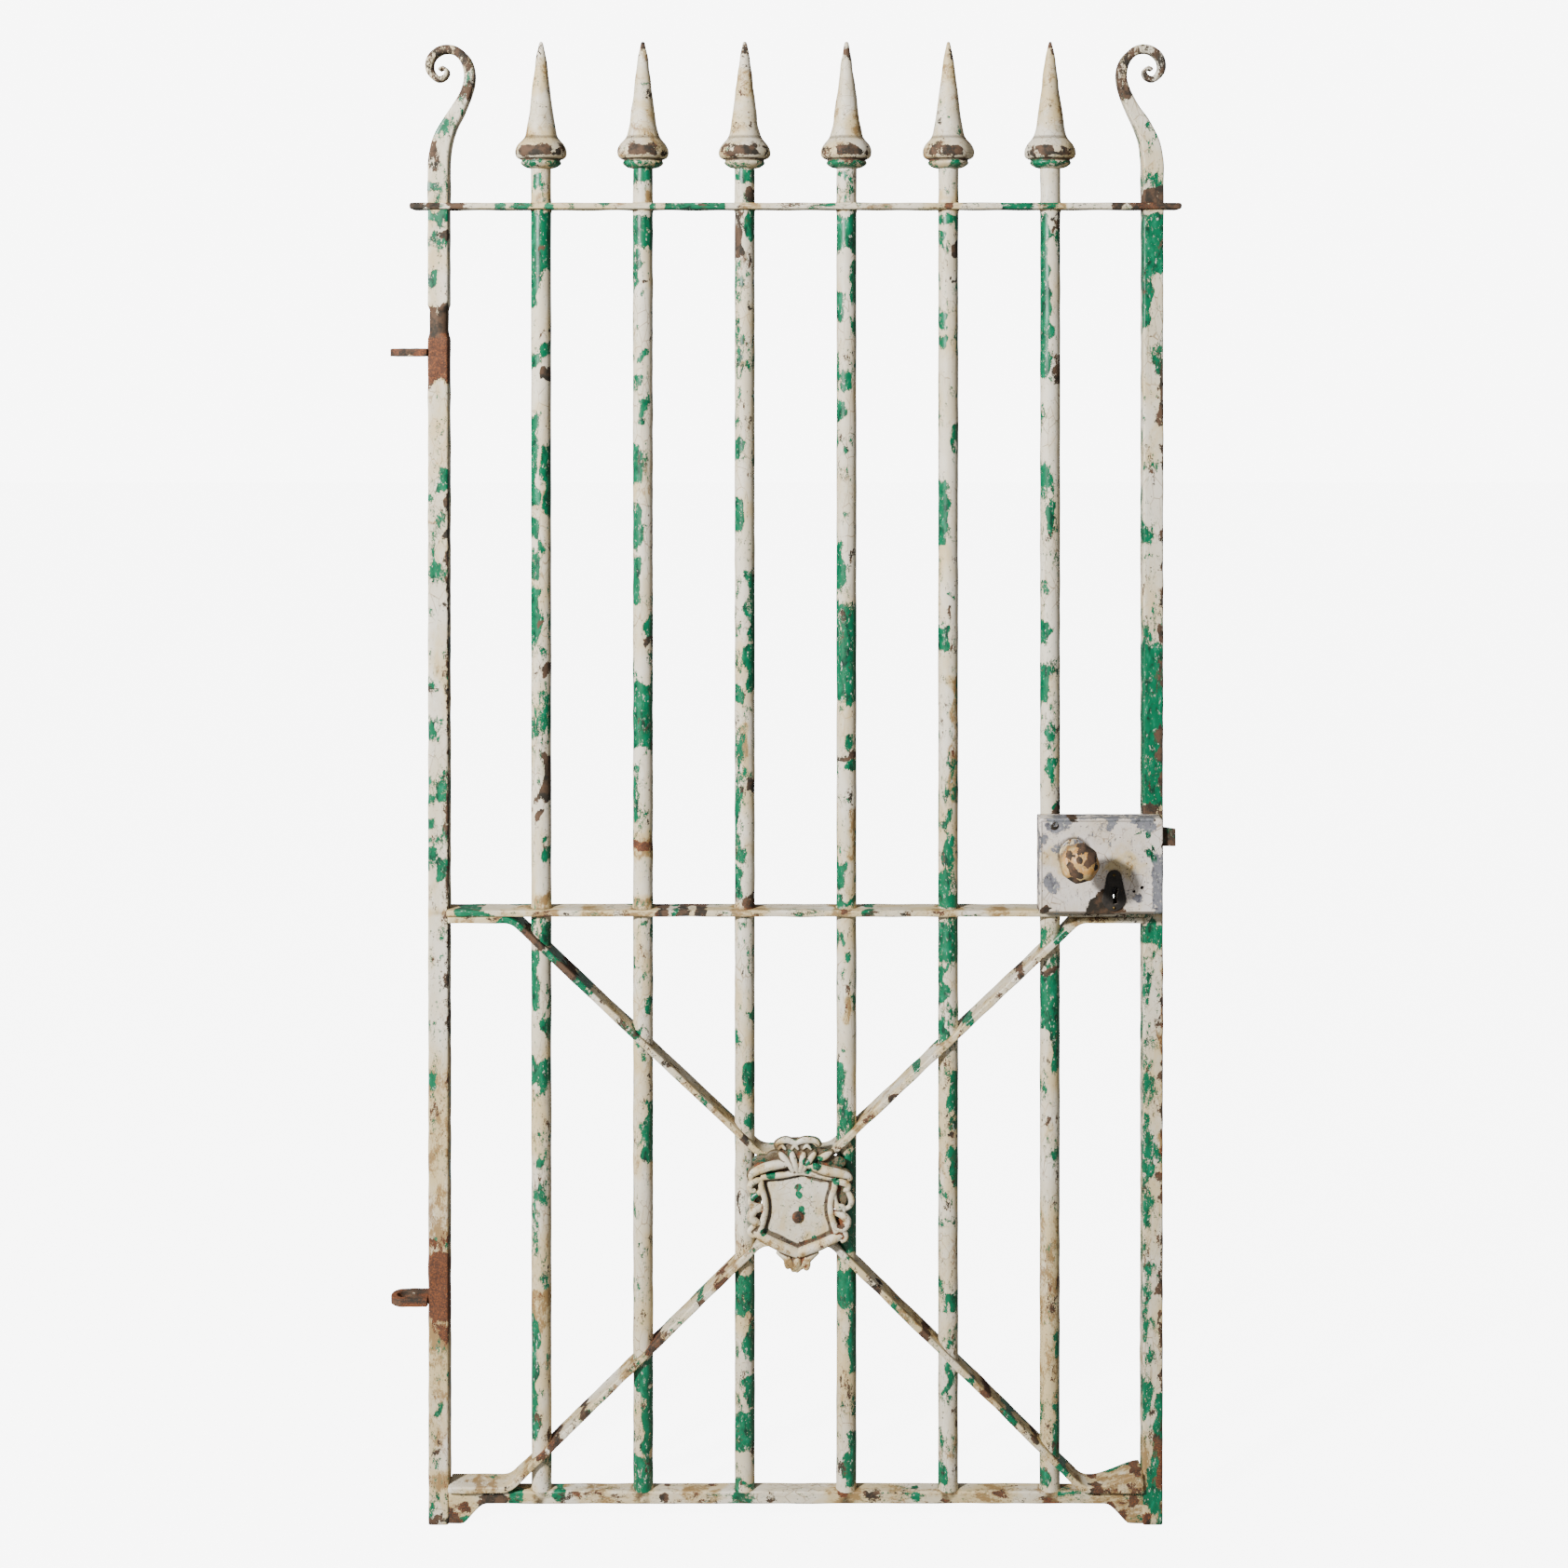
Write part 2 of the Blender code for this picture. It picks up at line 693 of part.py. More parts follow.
def stud(name, x, z, radius, tip):
    """A round stud that stands on the back plate, inside the case."""
    rod(name, radius, (x, PLATE_FRONT - GAP, z), (x, tip, z), bare_steel, sides=12)


def rose(name, outer, near, far):
    """A washer round the spindle, its front edge eased."""
    hole = SPINDLE_SIDE * sqrt(0.5) + 0.0006
    ease = 0.001
    profile = [
        (hole, near),
        (outer - ease, near),
        (outer, near - ease),
        (outer, far),
        (hole, far),
        (hole, near),
    ]
    made = turned(name, profile, bare_steel, along_y=True)
    made.location = (SPINDLE_X, 0, SPINDLE_Z)
    smooth(made)


def escutcheon():
    low, high = 0.7725, 0.823
    wide, narrow = 0.015, 0.0095
    bottom = arc((KEY_X - 0.0015, low + wide), wide, 180, 360, 12)
    top = arc((KEY_X - 0.0015, high - narrow), narrow, 0, 180, 8)
    at = CASE_FRONT - GAP - 0.00075
    plate = outline("key_escutcheon", bottom + top, 0.0015, bare_steel, at=at)
    cut(plate, keyhole("escutcheon_keyhole", -0.06, -0.04))
    case = bpy.data.objects["lock_case"]
    pins = {"upper": high - 0.006, "lower": low + 0.004}
    for name, z in pins.items():
        x = KEY_X - 0.0015
        cut(plate, hole_along_y(f"escutcheon_{name}_hole", x, z, 0.0013, -0.06, -0.04))
        cut(case, hole_along_y(f"case_{name}_pin_hole", x, z, 0.0013, -0.06, -0.04))
        front = -at + 0.00075 + GAP
        profile = [
            (0, front + 0.0009),
            (0.0019, front),
            (0.0010, front),
            (0.0010, -CASE_FRONT - CASE_WALL),
            (0, -CASE_FRONT - CASE_WALL),
        ]
        pin = turned(f"escutcheon_pin_{name}", profile, brass, steps=10, along_y=True)
        pin.location = (x, 0, z)


lock_case()
lock_back_plate()
screws()
rose("front_rose", 0.0185, -CASE_FRONT + GAP + 0.003, -CASE_FRONT + GAP)
rose("rear_rose", 0.011, -PLATE_BACK - GAP, -PLATE_BACK - GAP - 0.0025)
escutcheon()


# ---- knobs, spindle and follower, which turn together ----
def spindle_box(name, near, far, grow=0.0, look=None):
    half = SPINDLE_SIDE / 2 + grow
    return box(name, (-half, near, -half), (half, far, half), look, parent=knob_axis)


def knob(name, face_y, facing, stem):
    """A round knob cut in eight facets, on a stem. facing is 1 towards -Y and -1 towards +Y."""
    base = 0.0095
    middle = 0.049 + stem
    rows = [
        (0, 0.0200),
        (0.0095, 0.0200),
        (0.0180, 0.0150),
        (KNOB_RADIUS, 0.0060),
        (KNOB_RADIUS, -0.0060),
        (0.0180, -0.0150),
        (0.0095, -0.0215),
        (0.0075, -0.0260),
    ]
    profile = [(radius, middle + along) for radius, along in rows]
    profile += [(0.0075, 0.006), (base, 0.0015), (base, 0), (0, 0)]
    made = turned(name, profile, brass, steps=16, along_y=True, parent=knob_axis)
    if facing < 0:
        made.rotation_euler.x = radians(-90)
    made.location.y = face_y
    deep = 0.030 + stem
    near, far = sorted((face_y + facing * 0.001, face_y - facing * (deep + GAP)))
    cut(made, spindle_box(f"{name}_socket", near, far, grow=GAP))
    side = "front" if facing > 0 else "rear"
    y = face_y - facing * (0.018 + stem / 2)
    hole_low, hole_high = (0, y, SPINDLE_SIDE / 2 - 0.001), (0, y, 0.010)
    cut(made, rod(f"{name}_grub_hole", 0.0018, hole_low, hole_high, sides=10, parent=knob_axis))
    low, high = (0, y, SPINDLE_SIDE / 2 + GAP), (0, y, 0.0074)
    rod(f"grub_screw_{side}", 0.0015, low, high, bare_steel, sides=10, parent=knob_axis)
    return face_y - facing * deep


def follower():
    """The hub that the spindle turns, on a journal at each end, with an arm that draws the latch."""
    gap_front, gap_back = -CASE_FRONT - CASE_WALL - GAP, -PLATE_FRONT + GAP
    profile = [
        (0, -CASE_FRONT - GAP),
        (JOURNAL, -CASE_FRONT - GAP),
        (JOURNAL, gap_front),
        (FOLLOWER_RADIUS, gap_front),
        (FOLLOWER_RADIUS, gap_back + 0.003),
        (JOURNAL, gap_back + 0.003),
        (JOURNAL, -PLATE_BACK + GAP),
        (0, -PLATE_BACK + GAP),
    ]
    hub = turned("follower", profile, bare_steel, along_y=True, parent=knob_axis)
    arm = box("follower_arm", (-0.0035, -0.038, 0.004), (0.0035, -0.028, FOLLOWER_ARM), parent=knob_axis)
    join(hub, arm)
    cut(hub, spindle_box("follower_socket", -0.06, 0, grow=GAP))


front_end = knob("knob_front", KNOB_FRONT_Y, 1, 0)
rear_end = knob("knob_rear", KNOB_REAR_Y, -1, REAR_STEM)
spindle_box("knob_spindle", front_end, rear_end, look=bare_steel)
follower()


# ---- latch bolt and spring ----
TAIL_BACK, TAIL_FRONT = -0.0215, -0.0260
LATCH_HEAD_BACK = 0.428
POST_X, POST_Z, POST_RADIUS = 0.367, 0.8635, 0.003
LATCH_TRAVEL = 0.0165
SPRING_Y = -0.032


def latch_bolt():
    low, high = LATCH_Z - LATCH_TALL / 2, LATCH_Z + LATCH_TALL / 2
    bevel = 0.014
    plan = [
        (LATCH_HEAD_BACK, -0.036),
        (LATCH_END, -0.036),
        (LATCH_END, -0.034),
        (LATCH_END - bevel, -0.022),
        (LATCH_HEAD_BACK, -0.022),
    ]
    bolt = outline("latch_bolt", plan, LATCH_TALL, bare_steel, flat=True, at=LATCH_Z)
    foot = 0.855
    tail = box("latch_tail", (0.320, TAIL_FRONT, foot), (LATCH_HEAD_BACK + 0.005, TAIL_BACK - 0.0005, high))
    right = SPINDLE_X - 0.0035 - 0.0005
    lug = box("latch_lug", (right - 0.006, -0.039, foot), (right, TAIL_FRONT + 0.002, high))
    join(bolt, tail, lug)
    reach = POST_RADIUS + 0.0004
    slot = box(
        "latch_guide",
        (POST_X - reach, TAIL_FRONT - 0.01, POST_Z - reach),
        (POST_X + reach + LATCH_TRAVEL, TAIL_BACK + 0.01, POST_Z + reach),
    )
    cut(bolt, slot)


def latch_spring():
    """A coil between the post and the back of the bolt's head."""
    start, end = POST_X + POST_RADIUS + 0.0009, LATCH_HEAD_BACK - 0.0009
    turns, per_turn, radius, wire = 7, 10, 0.0038, 0.0006
    curve = bpy.data.curves.new("latch_spring", "CURVE")
    curve.dimensions = "3D"
    curve.bevel_depth = wire
    curve.bevel_resolution = 2
    curve.use_fill_caps = True
    spline = curve.splines.new("POLY")
    count = turns * per_turn
    spline.points.add(count)
    for i, point in enumerate(spline.points):
        turn = 2 * pi * i / per_turn
        x = start + (end - start) * i / count
        point.co = (x, SPRING_Y + radius * cos(turn), POST_Z + radius * sin(turn), 1)
    drawn = bpy.data.objects.new("latch_spring_curve", curve)
    bpy.context.scene.collection.objects.link(drawn)
    as_mesh("latch_spring", drawn, bare_steel, leaf)


latch_bolt()
latch_spring()
stud("spring_post", POST_X, POST_Z, POST_RADIUS, -0.0385)


# ---- deadbolt, its spring and the ward ----
STUD_X, STUD_Z, STUD_RADIUS = 0.390, 0.826, 0.0025
DEAD_TRAVEL = 0.012
LEAF_STUD = (0.3685, 0.8440)


def deadbolt():
    low, high = DEAD_Z - DEAD_TALL / 2, DEAD_Z + DEAD_TALL / 2
    shoulder = 0.413
    bolt = box("deadbolt", (shoulder, -0.035, low), (DEAD_END, -0.023, high), bare_steel)
    tail = box("deadbolt_tail", (0.366, -0.034, low), (shoulder + 0.004, -0.028, 0.832))
    join(bolt, tail)
    reach = STUD_RADIUS + 0.0004
    slot = box(
        "deadbolt_guide",
        (STUD_X - reach - DEAD_TRAVEL, -0.05, STUD_Z - reach),
        (STUD_X + reach, -0.02, STUD_Z + reach),
    )
    talon = box("deadbolt_talon", (KEY_X - 0.007, -0.05, low - 0.01), (KEY_X + 0.007, -0.02, low + 0.007))
    cut(bolt, slot, talon)


def leaf_spring():
    """A thin strip hooked round a stud, bearing down on the deadbolt's tail."""
    hook = arc(LEAF_STUD, 0.0030, 250, 90, 8)
    path = hook + [(0.380, 0.8435), (0.393, 0.8370), (0.401, 0.8329), (0.407, 0.8345)]
    outline("leaf_spring", strip(path, 0.0004), 0.005, bare_steel, at=-0.031)


deadbolt()
leaf_spring()
stud("leaf_spring_stud", LEAF_STUD[0], LEAF_STUD[1], 0.0022, -0.036)
stud("deadbolt_stud", STUD_X, STUD_Z, STUD_RADIUS, -0.0385)
ward = strip(arc((KEY_X, KEY_Z), 0.00975, 20, 160, 10), 0.00075)
outline("key_ward", ward, 0.006, bare_steel, at=PLATE_FRONT - GAP - 0.003)
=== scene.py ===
import math
import bmesh
import bpy
import numpy as np
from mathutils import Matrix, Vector


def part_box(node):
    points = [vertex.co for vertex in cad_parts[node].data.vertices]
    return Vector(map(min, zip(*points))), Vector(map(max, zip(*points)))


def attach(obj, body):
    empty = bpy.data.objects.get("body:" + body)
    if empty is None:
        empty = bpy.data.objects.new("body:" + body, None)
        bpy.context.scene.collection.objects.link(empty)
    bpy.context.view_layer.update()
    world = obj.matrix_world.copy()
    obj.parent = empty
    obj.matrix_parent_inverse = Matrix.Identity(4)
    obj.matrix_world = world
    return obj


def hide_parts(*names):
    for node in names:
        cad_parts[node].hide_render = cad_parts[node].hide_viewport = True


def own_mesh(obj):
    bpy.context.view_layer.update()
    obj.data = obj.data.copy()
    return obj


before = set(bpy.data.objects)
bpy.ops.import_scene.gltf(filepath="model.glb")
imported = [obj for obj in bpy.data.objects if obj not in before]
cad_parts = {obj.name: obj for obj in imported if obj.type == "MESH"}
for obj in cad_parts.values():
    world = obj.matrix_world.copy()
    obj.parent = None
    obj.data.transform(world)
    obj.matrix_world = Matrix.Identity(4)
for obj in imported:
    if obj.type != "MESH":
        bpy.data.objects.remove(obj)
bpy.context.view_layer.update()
print("frame loaded:", len(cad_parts), "parts")

mm = 0.001


def linear(red, green, blue):
    # a screen colour, 0 to 255, as the linear colour that shaders take
    values = np.array([red, green, blue]) / 255
    return tuple(np.where(values < 0.04045, values / 12.92, ((values + 0.055) / 1.055) ** 2.4)) + (1.0,)


def easeIn(value, low, high):
    # 0 below low, 1 above high, and a smooth S between them
    share = np.clip((value - low) / (high - low), 0, 1)
    return share * share * (3 - 2 * share)


def near(values, low, high, soft):
    # 1 between low and high, easing to 0 a little past each
    return easeIn(values, low - soft, low + soft) * (1 - easeIn(values, high - soft, high + soft))


def lumps(points, size, seed):
    # hand-made unevenness: eight sine waves of random direction and length, added up, about -1 to 1
    rng = np.random.default_rng(seed)
    total = np.zeros(points.shape[:-1])
    for _ in range(8):
        wave = rng.normal(size=3)
        wave *= 2 * np.pi * rng.uniform(0.7, 1.6) / (size * np.linalg.norm(wave))
        total += np.sin(points @ wave + rng.uniform(0, 2 * np.pi))
    return total / 4


def smoothCurve(points, perSpan):
    # a curve through control rows: each span is the cubic set by the rows before and after it
    rows = np.asarray(points, float)
    padded = np.concatenate([rows[:1], rows, rows[-1:]])
    before, start, end, after = (padded[i:i + len(rows) - 1, None] for i in range(4))
    t = (np.arange(perSpan) / perSpan)[None, :, None]
    made = start + (end - before) * t / 2 + (2 * before - 5 * start + 4 * end - after) * t**2 / 2
    made = made + (3 * start - before - 3 * end + after) * t**3 / 2
    return np.concatenate([made.reshape(-1, rows.shape[1]), rows[-1:]])


def evenly(points, spacing):
    # the same line with its rows evenly spaced, measured in its first two columns
    gaps = np.linalg.norm(np.diff(points[:, :2], axis=0), axis=1)
    length = np.concatenate([[0], np.cumsum(gaps)])
    stations = np.linspace(0, length[-1], max(int(round(length[-1] / spacing)), 4) + 1)
    return np.stack([np.interp(stations, length, column) for column in points.T], axis=-1)


def roundCorners(points, reach):
    # each inner corner of a bent line becomes a curve that starts and ends reach away from it
    rows = [np.asarray(point, float) for point in points]
    made = [rows[0]]
    for before, corner, after in zip(rows, rows[1:], rows[2:]):
        first = corner + (before - corner) * reach / np.linalg.norm(before - corner)
        last = corner + (after - corner) * reach / np.linalg.norm(after - corner)
        for t in np.linspace(0, 1, 9):
            made.append(first * (1 - t) ** 2 + 2 * corner * t * (1 - t) + last * t * t)
    return np.array(made + [rows[-1]])


def newMesh(name, points, quads, closed=True):
    mesh = bpy.data.meshes.new(name)
    mesh.vertices.add(len(points))
    mesh.vertices.foreach_set("co", np.asarray(points, np.float32).ravel())
    mesh.loops.add(quads.size)
    mesh.loops.foreach_set("vertex_index", quads.astype(np.int32).ravel())
    mesh.polygons.add(len(quads))
    mesh.polygons.foreach_set("loop_start", np.arange(0, quads.size, 4, dtype=np.int32))
    mesh.update(calc_edges=True)
    if closed:  # poles and seams are merged, and every face turned outwards
        work = bmesh.new()
        work.from_mesh(mesh)
        bmesh.ops.remove_doubles(work, verts=work.verts, dist=0.002 * mm)
        bmesh.ops.dissolve_degenerate(work, edges=work.edges, dist=0.002 * mm)
        bmesh.ops.recalc_face_normals(work, faces=work.faces)
        work.to_mesh(mesh)
        work.free()
    return mesh


def ringQuads(rings, around):
    # quads that join every ring of points to the next one
    ring = np.arange(rings - 1)[:, None] * around
    step = np.arange(around)[None, :]
    beside = (step + 1) % around
    corners = (ring + step, ring + beside, ring + around + beside, ring + around + step)
    return np.stack(corners, axis=-1).reshape(-1, 4)


def sectionParts(cornerSteps, edgeSteps):
    # a rounded rectangle as two arrays: a point is anchor * (half - corner) + normal * corner
    anchors, normals = [], []
    signs = np.array([(1.0, 1), (-1, 1), (-1, -1), (1, -1)])
    share = np.linspace(0, 1, edgeSteps + 2)[1:-1, None]
    for i, sign in enumerate(signs):
        angles = np.radians(90 * i + np.linspace(0, 90, cornerSteps + 1))
        normals.append(np.stack([np.cos(angles), np.sin(angles)], axis=-1))
        anchors.append(np.tile(sign, (cornerSteps + 1, 1)))
        anchors.append(sign * (1 - share) + signs[(i + 1) % 4] * share)
        normals.append(np.tile(normals[-1][-1], (edgeSteps, 1)))
    return np.concatenate(anchors), np.concatenate(normals)


def directions(stations):
    # unit steps along a line
    tangents = np.gradient(stations, axis=0)
    return tangents / np.linalg.norm(tangents, axis=1, keepdims=True)


def acrossLine(stations):
    # for a line in an upright plane, the direction at right angles to it in that plane
    tangents = directions(stations)
    sides = np.stack([-tangents[:, 2], np.zeros(len(stations)), tangents[:, 0]], axis=-1)
    return sides / np.maximum(np.linalg.norm(sides, axis=1, keepdims=True), 1e-6)


def carried(stations, halfSide, halfDepth, corner, endRound, section, lump=None, sides=None, depths=None):
    # a rounded rectangular section carried along a line. Each ring is the line's point, plus side
    # times the section's first number, plus depth times its second, which is front to back unless
    # given. Both ends are eased and closed, and lump is how high, how wide and which unevenness.
    count = len(stations)
    sides = acrossLine(stations) if sides is None else sides
    depths = np.tile([0.0, 1.0, 0.0], (count, 1)) if depths is None else depths
    sizes = [np.broadcast_to(size, count).astype(float) for size in (halfSide, halfDepth, corner)]
    tangents = directions(stations)
    turn = np.radians([0, 30, 60])
    inset = endRound * (1 - np.sin(turn))
    along = endRound * (1 - np.cos(turn))
    pieces = []
    for end, way in ((0, 1), (-1, -1)):
        middle = stations[end] + tangents[end] * way * along[:, None]
        pieces.append((middle, np.tile(sides[end], (3, 1)), np.tile(depths[end], (3, 1)),
                       sizes[0][end] - inset, sizes[1][end] - inset, np.full(3, sizes[2][end])))
    first, last = pieces
    body = [values[1:-1] for values in (stations, sides, depths, *sizes)]
    middle, side, depth, a, b, c = (np.concatenate([first[i], body[i], last[i][::-1]]) for i in range(6))
    c = np.minimum(c, np.minimum(a, b))
    anchors, normals = section
    across = anchors[None, :, 0] * (a - c)[:, None] + normals[None, :, 0] * c[:, None]
    deep = anchors[None, :, 1] * (b - c)[:, None] + normals[None, :, 1] * c[:, None]
    points = middle[:, None] + side[:, None] * across[..., None] + depth[:, None] * deep[..., None]
    if lump:
        high, size, seed = lump
        outward = side[:, None] * normals[None, :, :1] + depth[:, None] * normals[None, :, 1:]
        points = points + outward * (high * lumps(points, size, seed))[..., None]
    poles = [np.tile(middle[i], (1, len(anchors), 1)) for i in (0, -1)]
    points = np.concatenate([poles[0], points, poles[1]])
    return points.reshape(-1, 3), ringQuads(len(points), len(anchors))


def turned(rows, around, centre, axis="z", radiusAt=None, lump=None):
    # a profile of (radius, height) rows turned about an axis through centre: up for z, forward for y
    rows = np.asarray(rows, float)
    angle = np.arange(around) * 2 * np.pi / around
    radius = radiusAt(rows, angle) if radiusAt else rows[:, :1] * np.ones(around)
    x, other, height = radius * np.cos(angle), radius * np.sin(angle), rows[:, 1:2] * np.ones(around)
    points = np.stack([x, other, height] if axis == "z" else [x, -height, other], axis=-1)
    points = points + np.asarray(centre)
    if lump:
        high, size, seed = lump
        outward = np.zeros((around, 3))
        outward[:, [0, 1] if axis == "z" else [0, 2]] = np.stack([np.cos(angle), np.sin(angle)], axis=-1)
        swell = np.minimum(rows[:, :1] / (3 * mm), 1) * high * lumps(points, size, seed)
        points = points + outward * swell[..., None]
    return points.reshape(-1, 3), ringQuads(len(rows), around)


def together(*shapes):
    # several surfaces as one: their points in a row, their quads renumbered
    starts = np.cumsum([0] + [len(points) for points, _ in shapes])
    quads = [given + start for (_, given), start in zip(shapes, starts)]
    return np.concatenate([points for points, _ in shapes]), np.concatenate(quads)


def vertexValues(mesh, key):
    flat = np.empty(len(mesh.vertices) * 3, np.float32)
    mesh.vertices.foreach_get(key, flat)
    return flat.reshape(-1, 3).astype(float)


def coordinates(mesh):
    return vertexValues(mesh, "co")


def setWear(mesh, *shares):
    # the piece's wear and painted shade, four values a point: how far the cream is off, how far down to
    # the iron, how far it is stained, and how far it is darkened, which is painted shade in hollows,
    # creases, joints and under parts, with some grime
    values = np.zeros((len(mesh.vertices), 4), np.float32)
    for i, given in enumerate(shares):
        values[:, i] = np.clip(given, 0, 1)
    mesh.attributes.new("wear", "FLOAT_COLOR", "POINT").data.foreach_set("color", values.ravel())


def addPiece(name, mesh, material, nodeName, body="leaf", sharp=None):
    piece = bpy.data.objects.new(name, mesh)
    bpy.context.scene.collection.objects.link(piece)
    mesh.materials.clear()
    mesh.materials.append(material)
    mesh.shade_smooth()
    if sharp:
        mesh.set_sharp_from_angle(angle=math.radians(sharp))
    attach(piece, body)
    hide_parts(nodeName)
    return piece


def modified(mesh, *steps):
    # the mesh with modifiers worked in: each step is (type, settings)
    holder = bpy.data.objects.new("holder", mesh)
    bpy.context.scene.collection.objects.link(holder)
    for kind, settings in steps:
        modifier = holder.modifiers.new(kind.lower(), kind)
        for key, value in settings.items():
            setattr(modifier, key, value)
    bpy.context.view_layer.update()
    made = bpy.data.meshes.new_from_object(holder.evaluated_get(bpy.context.evaluated_depsgraph_get()))
    bpy.data.objects.remove(holder, do_unlink=True)
    return made


def softCopy(nodeName, voxel, lump, seed, rounds=4, filled=None):
    # a CAD part's shape with its edges rounded, as a fine even mesh with a little unevenness, and
    # with the shape in filled fused to it
    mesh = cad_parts[nodeName].data.copy()
    work = bmesh.new()
    work.from_mesh(mesh)
    bmesh.ops.remove_doubles(work, verts=work.verts, dist=0.01 * mm)
    bmesh.ops.dissolve_limit(work, angle_limit=0.02, verts=work.verts, edges=work.edges)
    work.to_mesh(mesh)
    work.free()
    edges = dict(width=0.6 * mm, segments=3, limit_method="ANGLE", angle_limit=math.radians(40))
    mesh = modified(mesh, ("BEVEL", dict(edges, use_clamp_overlap=True, harden_normals=False)))
    if filled:
        work = bmesh.new()
        work.from_mesh(mesh)
        work.from_mesh(newMesh("filled", *filled, closed=False))
        work.to_mesh(mesh)
        work.free()
    mesh = modified(mesh, ("REMESH", dict(mode="VOXEL", voxel_size=voxel * mm)),
                    ("SMOOTH", dict(factor=0.6, iterations=rounds)))
    points = coordinates(mesh)
    points = points + 0.6 * lump * mm * np.stack([lumps(points, 0.018, seed + k) for k in range(3)], axis=-1)
    mesh.vertices.foreach_set("co", points.astype(np.float32).ravel())
    mesh.update()
    return mesh


def softPiece(name, nodeName, material, voxel, lump, seed, wear=None, body="leaf", rounds=4,
              filled=None, shadeAndGrime=0, swing=0.35, size=0.02):
    # a piece made from its CAD part's softened copy. Wear is (seed, green, rust, stain), and each of
    # its levels swings up and down in patches of the size given.
    mesh = softCopy(nodeName, voxel, lump, seed, rounds, filled)
    if wear:
        points = coordinates(mesh)
        shares = [level + swing * lumps(points, size, wear[0] + k) for k, level in enumerate(wear[1:])]
        setWear(mesh, *shares, shadeAndGrime)
    addPiece(name, mesh, material, nodeName, body)


# where things are, from the CAD model
def middleOf(nodeName):
    low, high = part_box(nodeName)
    return (low + high) / 2


barX = [middleOf(f"bar_{i}").x for i in range(1, 7)]
leafX = sum(barX) / 6
barPitch = barX[1] - barX[0]
heelX = barX[0] - barPitch
latchX = barX[5] + barPitch
barRadius = (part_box("bar_1")[1].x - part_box("bar_1")[0].x) / 2
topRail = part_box("top_rail")
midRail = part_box("mid_rail")
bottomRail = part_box("bottom_rail")
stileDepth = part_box("latch_stile")[1].y
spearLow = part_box("spear_1")[0].z
caseLow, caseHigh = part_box("lock_case")


class Signal:
    # one output of a node, which can be added, taken away and multiplied like a number; a key in
    # square brackets gives the same node's output of that name or place
    def __init__(self, socket):
        self.socket = socket

    def __getitem__(self, key):
        return Signal(self.socket.node.outputs[key])

    def __add__(self, other):
        return calc("ADD", self, other)

    def __radd__(self, other):
        return calc("ADD", other, self)

    def __sub__(self, other):
        return calc("SUBTRACT", self, other)

    def __rsub__(self, other):
        return calc("SUBTRACT", other, self)

    def __mul__(self, other):
        return calc("MULTIPLY", self, other)


def feed(made, values):
    # links signals to a node's inputs, or sets plain values on them
    for key, value in values.items():
        if isinstance(value, Signal):
            made.id_data.links.new(value.socket, made.inputs[key])
        else:
            made.inputs[key].default_value = value


def node(kind, inputs, tree=None, output=0, **settings):
    # adds a node to the tree that its signals come from, or to the one given
    tree = tree or next(value.socket.id_data for value in inputs.values() if isinstance(value, Signal))
    made = tree.nodes.new("ShaderNode" + kind)
    for key, value in settings.items():
        setattr(made, key, value)
    feed(made, inputs)
    return Signal(made.outputs[output])


def calc(operation, first, second, clamp=False):
    return node("Math", {0: first, 1: second}, operation=operation, use_clamp=clamp)


def mixed(share, first, second, mode="MIX"):
    return node("Mix", {0: share, 6: first, 7: second}, output=2, data_type="RGBA", blend_type=mode)


def blend(share, first, second):
    return node("Mix", {0: share, 2: first, 3: second})


def step(value, low, high):
    return node("MapRange", {0: value, 1: low, 2: high}, interpolation_type="SMOOTHSTEP")


def noise(vector, scale, detail=5.0, rough=0.6, warp=0.0):
    inputs = {"Vector": vector, "Scale": scale, "Detail": detail, "Roughness": rough, "Distortion": warp}
    return node("TexNoise", inputs)


def stretched(vector, amounts):
    return node("VectorMath", {0: vector, 1: amounts}, operation="MULTIPLY")


def newGroup(name, inputs, outputs):
    # inputs are starting values, each a number, a vector of 3 or a colour of 4; an output is a number
    # unless it is the colour
    group = bpy.data.node_groups.new(name, "ShaderNodeTree")
    for key, value in inputs.items():
        kind = {1: "Float", 3: "Vector", 4: "Color"}[np.size(value)]
        made = group.interface.new_socket(key, in_out="INPUT", socket_type="NodeSocket" + kind)
        made.default_value = value
    for key in outputs:
        kind = "Color" if key == "Colour" else "Float"
        group.interface.new_socket(key, in_out="OUTPUT", socket_type="NodeSocket" + kind)
    return group, Signal(group.nodes.new("NodeGroupInput").outputs[0]), group.nodes.new("NodeGroupOutput")


origin = (0, 0, 0)
white = (1, 1, 1, 1)


def makeRust():
    # mottled rusty iron: dark scale, brown rust and orange bloom, with a grainy height
    tree, given, result = newGroup("mottled rust", {"Vector": origin, "Bloom": 0.4}, ("Colour", "Height"))
    vector = given["Vector"]
    broad = noise(vector, 70, 4, 0.6)
    fine = noise(vector, 520, 6, 0.7)
    brown = mixed(step(broad, 0.4, 0.6), linear(38, 32, 22), linear(82, 60, 42))
    brown = mixed(step(given["Bloom"], 0.55, 0.85), brown, linear(76, 42, 24))
    bloom = step(fine + given["Bloom"] * 0.3, 0.66, 0.86)
    colour = mixed(bloom, brown, linear(124, 70, 34))
    pits = step(noise(vector, 900, 3, 0.5), 0.62, 0.7)
    feed(result, {"Colour": mixed(pits, colour, linear(24, 22, 16)), "Height": fine + pits * -0.4})
    return tree


